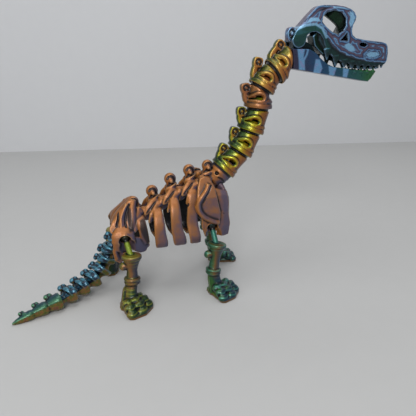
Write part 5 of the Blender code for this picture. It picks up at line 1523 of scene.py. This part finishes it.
def skull_silk():
    """Printed silk PLA on the skull: a brown-purple face with blue lines that run along its
    openings, a green arch and gum wall, and painted shade in dark green inside."""
    material, tree, place = begin("silk_PLA_printed_skull")
    far = add(tree, "ShaderNodeAttribute", attribute_name="contour").outputs["Fac"]
    move = drift(tree, place, 6.0, 4.4, 3.0)
    wide = add(tree, "ShaderNodeMath", {0: far, 1: move}, operation="ADD").outputs[0]
    part = add(tree, "ShaderNodeMath", {0: wide, 1: 0.1}, operation="MULTIPLY").outputs[0]
    face = fill(add(tree, "ShaderNodeValToRGB", {"Fac": part}),
                [(0.0, "#3a3e54"), (0.06, "#44485e"), (0.10, "#6f9cc4"), (0.15, "#46648e"),
                 (0.21, "#3a3a54"), (0.29, "#645260"), (0.38, "#4c5272"), (0.43, "#78a6cc"),
                 (0.48, "#466690"), (0.55, "#504c68"), (0.64, "#5f5468"), (0.72, "#5c80a8"),
                 (0.85, "#7cb0d2")])
    roof = add(tree, "ShaderNodeSeparateXYZ", {0: place.outputs["Normal"]}).outputs["Z"]
    lift = add(tree, "ShaderNodeMapRange", {"Value": roof, "From Min": 0.25, "From Max": 0.8},
               interpolation_type="SMOOTHSTEP").outputs[0]
    tilt = turned(tree, place, (0.2, 0.0, 0.9), drift(tree, place, 10.0, 0.25))
    arch = fill(add(tree, "ShaderNodeValToRGB", {"Fac": tilt}),
                [(0.15, "#0b1c24"), (0.42, "#12303a"), (0.56, "#1a4640"), (0.68, "#22565e"),
                 (0.84, "#6fa8d0")])
    gum = fill(add(tree, "ShaderNodeValToRGB", {"Fac": tilt}),
               [(0.2, "#07161a"), (0.45, "#0e282c"), (0.62, "#153834"), (0.85, "#1f4a50")])
    colour = overlay(tree, face, (lift, "#5a5068"), ("gum", gum), ("arch", arch),
                     ("patch", chosen("sky")))
    # Painted shade in dark green on the inner faces, holes, palate and cheek bone; then painted shade
    # in creases and a painted highlight along ridges.
    colour, metal_with_painted_shade = paint_inner_shade(tree, colour, "#12301f")
    sheen_of_silk(tree, place, colour, metal_with_painted_shade, 0.3, 0.25, (0.0, 1.0, 0.0), "#0a1014", "#7fa8cc")
    return material


def jaw_silk():
    """Printed silk PLA on the jaw: dark teal sides with light blue buttress faces, a dark
    purple rear edge and a green front corner."""
    material, tree, place = begin("silk_PLA_printed_jaw")
    at = turned(tree, place, (0.0, 0.0, 0.5), drift(tree, place, 9.0, 0.16),
                (12.0, 0.0, 0.0), (186.0, 0.0, 190.0))
    colour = fill(add(tree, "ShaderNodeValToRGB", {"Fac": at}),
                  [(0.02, "#34334a"), (0.14, "#2c3a5a"), (0.30, "#20466a"), (0.52, "#1f4a62"),
                   (0.76, "#1e5450"), (0.95, "#286034")])
    light = fill(add(tree, "ShaderNodeValToRGB", {"Fac": drift(tree, place, 5.0, 1.4)}),
                 [(0.0, "#6a9ac4"), (0.30, "#7f8cb8"), (0.6, "#565f92")])
    # Painted shade in dark teal on the inner faces, in the trough and on the teeth tips, and painted
    # shade in creases.
    colour, metal_with_painted_shade = paint_inner_shade(tree, overlay(tree, colour, ("patch", light)), "#12282c")
    sheen_of_silk(tree, place, colour, metal_with_painted_shade, 0.3, 0.25, (0.0, 1.0, 0.0), "#0a1014")
    return material


def plain_matte(name, paper, rough):
    """Seamless studio paper: matt, with a barely seen tooth."""
    material, tree, place = begin(name)
    tooth = add(tree, "ShaderNodeTexNoise", {"Vector": place.outputs["Object"],
                                             "Scale": 1000.0 / TOOTH_MM, "Detail": 4.0})
    tone = add(tree, "ShaderNodeMapRange", {"Value": tooth.outputs["Fac"], "To Min": 0.985,
                                            "To Max": 1.015})
    colour = add(tree, "ShaderNodeMix", {0: 1.0, 6: paper, 7: tone.outputs[0]},
                 data_type="RGBA", blend_type="MULTIPLY")
    skin = add(tree, "ShaderNodeBsdfPrincipled", {"Base Color": colour.outputs[2], "Roughness": rough})
    add(tree, "ShaderNodeOutputMaterial", {"Surface": skin.outputs[0]})
    return material


# ---- marks
def smooth(values, low, high):
    """0 below low, 1 above high, and an even change between."""
    t = np.clip((values - low) / (high - low), 0.0, 1.0)
    return t * t * (3.0 - 2.0 * t)


def area(points, line, soft=0.6):
    """1 inside a drawn outline and 0 outside it, with a soft edge."""
    gap = gap_to(points, line, True)
    signed = np.where(inside(points, line), gap, -gap)
    return smooth(signed, -soft, soft)


def facing_in(item, points):
    """1 where a face looks in towards the middle of the animal."""
    turn = rows_of(item, "normal")[:, 1] * np.sign(points[:, 1])
    return smooth(-turn, 0.05, 0.45)


# Where the skull is light blue, and the upper edge of its arch.
BRIGHT_SPOTS = [[(192.2, 209.6), (196.0, 211.4), (201.4, 208.4), (203.4, 205.0), (198.7, 204.6),
                 (194.6, 206.6)],
                [(214.8, 202.2), (218.6, 204.2), (225.6, 204.0), (228.6, 202.2), (224.6, 200.2),
                 (218.0, 200.0)],
                [(195.4, 236.4), (198.8, 234.8), (200.6, 231.6), (199.6, 227.4), (196.6, 223.6),
                 (195.0, 227.2), (196.4, 231.8)],
                [(160.6, 230.4), (166.6, 230.6), (169.2, 227.6), (162.4, 227.8), (156.0, 225.6)],
                [(181.0, 239.6), (191.0, 238.9), (195.0, 237.4), (190.0, 238.0), (181.0, 238.5)]]
ARCH_EDGE = [(143.0, 218.0), (149.0, 222.0), (156.0, 224.6), (164.6, 225.6), (170.2, 222.6),
             (174.8, 215.6)]
ARCH_PATCH = [(136.0, 204.0), (141.0, 217.0), (147.0, 221.0), (155.4, 224.4), (165.0, 226.0),
              (171.0, 222.4), (176.0, 214.6), (180.6, 208.6), (176.0, 203.0), (168.0, 206.0)]
GUM_PATCH = CHEEK_LINE + [(240.0, 180.0), (150.0, 180.0), (150.0, 206.0), (168.0, 206.0)]
JAW_PATCHES = [[(148.4, 208.4), (159.6, 207.6), (158.6, 201.8), (156.2, 197.0), (157.4, 189.4),
                (151.8, 189.8), (150.6, 197.8)],
               [(166.4, 198.4), (170.4, 197.8), (173.6, 190.9), (171.6, 185.0), (165.6, 186.0),
                (165.8, 191.2)],
               [(179.4, 192.6), (187.2, 191.4), (185.8, 184.0), (181.4, 184.6)],
               [(193.8, 190.8), (199.6, 190.0), (199.0, 183.0), (194.8, 183.6)]]
JAW_SLIT = [(155.6, 206.4), (158.0, 205.4), (156.4, 200.6), (154.8, 199.4)]


def mark_skull(item):
    """Marks the skull's contour distance, gum wall, arch, bright spots, and the painted shade on its
    inner faces, holes, palate and cheek bone.
    """
    points = plan_points(item)
    depth = np.abs(points[:, 1])
    far = np.minimum.reduce([gap_to(points, NARIS, True), gap_to(points, ROOF),
                             gap_to(points, CHEEK_LINE), gap_to(points, SLOT, True),
                             gap_to(points, NOSTRIL, True) + 1.2,
                             gap_to(points, SNOUT_RING, True) + 0.4])
    mark(item, "contour", far)
    gum = area(points, GUM_PATCH, 0.35)
    mark(item, "gum", gum)
    tab = smooth(5.2 - depth, 0.0, 0.6) * smooth(152.5 - points[:, 0], 0.0, 1.0)
    mark(item, "arch", area(points, ARCH_PATCH, 0.5) * (1.0 - tab))
    spots = [area(points, line, 0.5) for line in BRIGHT_SPOTS]
    spots.append(smooth(1.5 - gap_to(points, ARCH_EDGE), 0.0, 1.0) * 0.85)
    mark(item, "patch", np.maximum.reduce(spots))
    # Painted shade in the holes, under the palate, on the cheek bone and on the faces that look in.
    holes = [area(points, line, 0.25) for line in (NARIS, SLOT, NOSTRIL)]
    hidden = facing_in(item, points) * (1.0 - gum * 0.5)
    low = area(points, [(190.0, 196.4), (236.0, 194.0), (236.0, 188.0), (190.0, 188.0)], 0.2)
    holes.append(low * smooth(5.7 - depth, 0.0, 0.4))
    holes.append(area(points, CHEEK, 0.2) * smooth(6.8 - depth, 0.0, 0.4))
    holes.append(area(points, CHEEK_LOW, 0.2) * smooth(6.3 - depth, 0.0, 0.4))
    mark(item, "inner", np.maximum.reduce([hidden] + holes))


def mark_jaw(item):
    """Marks the light faces on the jaw's sides, and painted shade on its inner faces, in its trough
    and on its teeth tips.
    """
    points = plan_points(item)
    patch = np.maximum.reduce([area(points, line, 0.7) for line in JAW_PATCHES])
    mark(item, "patch", patch * (1.0 - area(points, JAW_SLIT, 0.6)))
    well = smooth(5.3 - np.abs(points[:, 1]), 0.0, 0.5) * smooth(points[:, 2], 190.0, 193.0)
    teeth = smooth(points[:, 2], 188.9, 189.6) * smooth(points[:, 0], 200.0, 203.0)
    well = np.maximum(well, teeth * 0.8)
    mark(item, "inner", np.maximum(facing_in(item, points), well))


def mark_rim_shadow(item, index):
    """Paints shadow into the groove that shows under the rim of the neck link at this ball."""
    ahead = np.array(lean_vector(NECK_LEAN[index]))
    level = (plan_points(item) - np.array(side(NECK_BALLS[index]))) @ ahead
    mark(item, "inner", smooth(level, -3.9, -3.3) * smooth(-level, 0.6, 1.2))


def mark_trunk(item, patch=None, clefts=()):
    """Marks painted shade on the inner faces of the ribs and plates and in their clefts, and the slate
    faces.
    """
    points = plan_points(item)
    out = np.abs(points[:, 1])
    dark = facing_in(item, points) * smooth(out, 8.0, 12.0)
    for line in clefts:
        dark = np.maximum(dark, area(points, line, 0.9) * smooth(out, 2.0, 4.0) * 0.88)
    mark(item, "inner", dark)
    if patch:
        mark(item, "patch", area(points, patch, 1.6) * 0.8)


def mark_belly(item, index):
    """Marks the flat faces under a tail piece."""
    low = Vector(TAIL_BALLS[index])
    high = Vector((TAIL_BALLS + [TAIL_TIP])[index + 1])
    dorsal = np.array(tail_dorsal((high - low).normalized(), index))
    mark(item, "patch", smooth(-(rows_of(item, "normal") @ dorsal), 0.30, 0.50))


def mark_rod(item, name):
    """Marks the rod between a leg's ball and its disk, and painted shade on its upper end in the
    socket.
    """
    points = plan_points(item)
    ball, shape, turn = LEGS[name]
    top = np.array(ball)
    run = np.array(leg_point(name.split("_")[-1], ball, shape[0], turn)) - top
    t = (points - top) @ run / (run @ run)
    off = np.linalg.norm(points - top - t[:, None] * run, axis=1)
    bare = smooth(-off, -4.8, -4.2) * smooth(-t, -0.97, -0.9)
    mark(item, "patch", bare)
    mark(item, "inner", bare * smooth(-t, -0.34, -0.24))


# ---- settings
def colour_of(name, code, about):
    """A colour that the user may change."""
    return bpy.props.FloatVectorProperty(name=name, description=about, size=4, min=0.0, max=1.0,
                                         subtype="COLOR", default=linear(code))


class SkeletonSizes(bpy.types.PropertyGroup):
    """Sizes of the fine surface and of the studio."""

    head_grain: bpy.props.FloatProperty(
        name="Head grain", description="Cell size of the skin on the skull and jaw",
        default=GRAIN_HEAD * MM, min=0.0002, max=0.002, precision=5, unit="LENGTH")
    body_grain: bpy.props.FloatProperty(
        name="Body grain", description="Cell size of the skin on all the other pieces",
        default=GRAIN_BODY * MM, min=0.0002, max=0.002, precision=5, unit="LENGTH")
    softening: bpy.props.IntProperty(
        name="Softening", description="Rounds of smoothing that soften the printed edges",
        default=SKIN_ROUNDS, min=0, max=12)
    lens: bpy.props.FloatProperty(
        name="Lens", description="Focal length of the camera, in millimetres",
        default=35.31, min=10.0, max=200.0)


class SkeletonColours(bpy.types.PropertyGroup):
    """Colours of the filament's plain faces and of the studio."""

    slate: colour_of("Slate", "#4a4860", "Colour of the trunk's faces that look ahead")
    sky: colour_of("Light blue", "#84b4d6", "Colour of the bright spots on the skull")
    fore_rod: colour_of("Front rods", "#2c6c5c", "Colour of the rods in the front legs' sockets")
    hind_rod: colour_of("Rear rods", "#71841f", "Colour of the rods in the rear legs' sockets")
    sole: colour_of("First layers", "#7a5228", "Colour of the feet's first printed layers")
    floor: colour_of("Floor", "#b3b3b2", "Colour of the paper under the toy")
    wall: colour_of("Wall", "#cfd0d2", "Colour of the paper behind the toy")


# ---- pieces
# The stage, in metres: the wall stands far enough back that the toy can be seen from behind as
# well.  A lamp has its place, the point it looks at, its size and its power in watts.
SHEET_HALF = 3.0
WALL_AT = 0.62
WALL_TURN = -7.7
LAMPS = (("Key_softbox", (-0.34, -1.0, 0.80), (0.0, 0.0, 0.10), 0.5, 9.4),
         ("Fill_softbox", (-1.1, -0.35, 0.75), (0.0, 0.0, 0.10), 0.9, 2.2),
         ("Top_softbox", (-0.1, -0.12, 1.5), (0.0, 0.0, 0.0), 0.9, 6.6),
         ("Rear_softbox", (0.5, 0.5, 1.0), (0.0, 0.0, 0.1), 0.5, 2.0))
AIR = "#d6d9dd"
AIR_POWER = 0.46
CAMERA_AT = (-0.08771, -0.33787, 0.198)
CAMERA_TILT = 70.0
CAMERA_TURN = -15.0


class SKELETON_OT_set_stage(bpy.types.Operator):
    """Lays the pale floor and wall, hangs the soft lights and sets the camera"""

    bl_idname = "skeleton.set_stage"
    bl_label = "Set the stage"

    def execute(self, context):
        scene = context.scene
        turn = Matrix.Rotation(math.radians(WALL_TURN), 4, "Z")
        for name in ("Floor", "Wall"):
            bm = bmesh.new()
            bmesh.ops.create_grid(bm, x_segments=1, y_segments=1, size=SHEET_HALF)
            if name == "Wall":
                bmesh.ops.rotate(bm, cent=(0, 0, 0), verts=bm.verts[:],
                                 matrix=Matrix.Rotation(math.radians(90.0), 3, "X"))
                bmesh.ops.translate(bm, vec=(0.0, WALL_AT, 0.0), verts=bm.verts[:])
                bmesh.ops.transform(bm, matrix=turn, verts=bm.verts[:])
            sheet = object_from(bm, name)
            sheet.data.materials.append(plain_matte("studio_paper_" + name.lower(),
                                                    chosen(name.lower()), 0.85))
        for name, spot, target, size, power in LAMPS:
            lamp = bpy.data.lights.new(name, "AREA")
            lamp.shape = "SQUARE"
            lamp.size = size
            lamp.energy = power
            holder = bpy.data.objects.new(name, lamp)
            holder.location = spot
            holder.rotation_euler = (Vector(target) - Vector(spot)).to_track_quat("-Z", "Y").to_euler()
            scene.collection.objects.link(holder)
        world = bpy.data.worlds.new("Studio_air")
        world.use_nodes = True
        air = world.node_tree.nodes["Background"]
        air.inputs[0].default_value = linear(AIR)
        air.inputs[1].default_value = AIR_POWER
        scene.world = world
        scene.view_settings.view_transform = "Standard"
        lens = bpy.data.cameras.new("Camera")
        lens.lens = scene.skeleton_sizes.lens
        lens.clip_start = 0.01
        eye = bpy.data.objects.new("Camera", lens)
        eye.location = CAMERA_AT
        eye.rotation_euler = (math.radians(CAMERA_TILT), 0.0, math.radians(CAMERA_TURN))
        scene.collection.objects.link(eye)
        scene.camera = eye
        return {"FINISHED"}


class SKELETON_OT_build_skull(bpy.types.Operator):
    """Builds the skull with its openings, gum wall and teeth"""

    bl_idname = "skeleton.build_skull"
    bl_label = "Skull"

    def execute(self, context):
        mark_skull(piece(skull_skin(), "Skull", "skull", "skull_silk", skull_silk(), head=True))
        return {"FINISHED"}


class SKELETON_OT_build_jaw(bpy.types.Operator):
    """Builds the lower jaw with its trough, teeth and neck socket"""

    bl_idname = "skeleton.build_jaw"
    bl_label = "Jaw"

    def execute(self, context):
        mark_jaw(piece(jaw_skin(), "Jaw", "jaw", "jaw_silk", jaw_silk(), head=True))
        return {"FINISHED"}


class SKELETON_OT_build_neck(bpy.types.Operator):
    """Builds the six flared neck links with their curled spines"""

    bl_idname = "skeleton.build_neck"
    bl_label = "Neck"

    def execute(self, context):
        # inner is painted shadow under the rim of the next link, and edge is the painted highlight
        # along ridges.
        upper = two_colour_silk("silk_PLA_printed_gold_copper", GOLD_COPPER, (0.75, 0.1, -0.55),
                                patch_mm=9.0, edge="#caa050", inner="#0c0a06")
        middle = two_colour_silk("silk_PLA_printed_neck_copper", COPPER_NECK, (0.8, 0.0, -0.4),
                                 patch_mm=9.0, edge="#a87648", inner="#0c0a06")
        lower = two_colour_silk("silk_PLA_printed_green_gold", GREEN_GOLD, (0.85, -0.1, -0.5),
                                wander=0.18, patch_mm=11.0, metal=0.62, rough=0.28,
                                edge="#c4c43a", inner="#0c0a06")
        for index in range(6):
            name = "neck_%d" % (index + 1)
            slot, silk = (("lower_neck_silk", lower) if index < 3
                          else ("upper_neck_silk", middle if index == 3 else upper))
            item = piece(neck_skin(index), name.capitalize() + "_link", name, slot, silk)
            if index < 5:
                mark_rim_shadow(item, index + 1)
        return {"FINISHED"}


class SKELETON_OT_build_chest(bpy.types.Operator):
    """Builds the front of the trunk with its shoulder blades"""

    bl_idname = "skeleton.build_chest"
    bl_label = "Chest"

    def execute(self, context):
        item = piece(chest_skin(), "Chest", "chest", "trunk_silk", trunk_silk())
        mark_trunk(item, BREAST_PATCH)
        mark_rim_shadow(item, 0)
        return {"FINISHED"}


class SKELETON_OT_build_ribs(bpy.types.Operator):
    """Builds the three back links with their spines, side processes and ribs"""

    bl_idname = "skeleton.build_ribs"
    bl_label = "Ribs"

    def execute(self, context):
        for index in range(3):
            name = "rib_link_%d" % (index + 1)
            mark_trunk(piece(rib_skin(index), name.capitalize(), name, "trunk_silk", trunk_silk()))
        return {"FINISHED"}


class SKELETON_OT_build_pelvis(bpy.types.Operator):
    """Builds the hips with their sockets and pubis"""

    bl_idname = "skeleton.build_pelvis"
    bl_label = "Pelvis"

    def execute(self, context):
        item = piece(pelvis_skin(), "Pelvis", "pelvis", "trunk_silk", trunk_silk())
        mark_trunk(item, PUBIS_PATCH, HIP_CLEFTS)
        return {"FINISHED"}


class SKELETON_OT_build_tail(bpy.types.Operator):
    """Builds the seven tail links and the tip"""

    bl_idname = "skeleton.build_tail"
    bl_label = "Tail"

    def execute(self, context):
        # The tail's edge colours are painted highlights along ridges, and its lines are layer lines.
        navy = two_colour_silk("silk_PLA_printed_navy", NAVY, (-0.25, 0.45, 0.85), wander=0.12,
                               patch_mm=8.0, metal=0.55, edge="#5c9cb0", patch=BELLY,
                               lines=((-0.5, 0.0, 0.85), 2.2, 0.4, 0.2, "#5aa0b4", 0.35))
        green = two_colour_silk("silk_PLA_printed_tail_green", GREEN_TIP, (-0.25, 0.45, 0.85),
                                wander=0.12, patch_mm=8.0, rough=0.36, coat=0.15,
                                edge="#6a9a70", patch=BELLY)
        for index in range(7):
            name = "tail_%d" % (index + 1)
            item = piece(tail_skin(index), name.capitalize() + "_link", name, "tail_silk", navy,
                         floor=index >= 4)
            mark_belly(item, index)
        item = piece(tip_skin(), "Tail_end", "tail_tip", "tail_silk", green, floor=True)
        mark_belly(item, 7)
        return {"FINISHED"}


class SKELETON_OT_build_legs(bpy.types.Operator):
    """Builds the four legs with their disks, knee rings and knuckled feet"""

    bl_idname = "skeleton.build_legs"
    bl_label = "Legs"

    def execute(self, context):
        silks = {}
        # For each end: shaft and foot ramps, the painted shade on the upper ends of its rods, the
        # painted highlight along ridges, and the colour of its layer lines.
        for end, shaft, foot, dark, edge, line in (
                ("fore", FORE, FORE_FOOT, "#0a0e10", "#3f7a68", "#3f8a78"),
                ("hind", HIND, HIND_FOOT, "#0c0e0a", "#86803a", "#868e28")):
            silks[end] = two_colour_silk(
                "silk_PLA_printed_teal_" + end, shaft, (0.85, -0.1, -0.3), wander=0.34,
                patch_mm=6.0, rough=0.36, foot=(15.0, 22.0, foot), patch=chosen(end + "_rod"),
                inner=dark, sole=chosen("sole"), edge=edge,
                lines=((0.0, 0.0, 1.0), 1.6, 0.45, 0.15, line, 0.5))
        for name in LEGS:
            end = "fore" if "fore" in name else "hind"
            item = piece(leg_skin(name), name.capitalize(), name, end + "_leg_silk", silks[end],
                         floor=True)
            mark_rod(item, name)
        return {"FINISHED"}


STEPS = ("set_stage", "build_skull", "build_jaw", "build_neck", "build_chest", "build_ribs",
         "build_pelvis", "build_tail", "build_legs")


class SKELETON_PT_panel(bpy.types.Panel):
    """Lists the sizes, the colours and the pieces"""

    bl_idname = "SKELETON_PT_panel"
    bl_label = "Printed skeleton"
    bl_space_type = "VIEW_3D"
    bl_region_type = "UI"
    bl_category = "Skeleton"

    def draw(self, context):
        box = self.layout
        sizes = context.scene.skeleton_sizes
        for name in ("head_grain", "body_grain", "softening", "lens"):
            box.prop(sizes, name)
        for name in ("slate", "sky", "fore_rod", "hind_rod", "sole", "floor", "wall"):
            box.prop(context.scene.skeleton_colours, name)
        for step in STEPS:
            box.operator("skeleton." + step)


CLASSES = (SkeletonSizes, SkeletonColours, SKELETON_OT_set_stage, SKELETON_OT_build_skull,
           SKELETON_OT_build_jaw, SKELETON_OT_build_neck, SKELETON_OT_build_chest,
           SKELETON_OT_build_ribs, SKELETON_OT_build_pelvis, SKELETON_OT_build_tail,
           SKELETON_OT_build_legs, SKELETON_PT_panel)


def register():
    for kind in CLASSES:
        bpy.utils.register_class(kind)
    bpy.types.Scene.skeleton_sizes = bpy.props.PointerProperty(type=SkeletonSizes)
    bpy.types.Scene.skeleton_colours = bpy.props.PointerProperty(type=SkeletonColours)


def unregister():
    del bpy.types.Scene.skeleton_colours
    del bpy.types.Scene.skeleton_sizes
    for kind in reversed(CLASSES):
        bpy.utils.unregister_class(kind)


def main():
    register()
    for step in STEPS:
        getattr(bpy.ops.skeleton, step)()


if __name__ == "__main__":
    main()
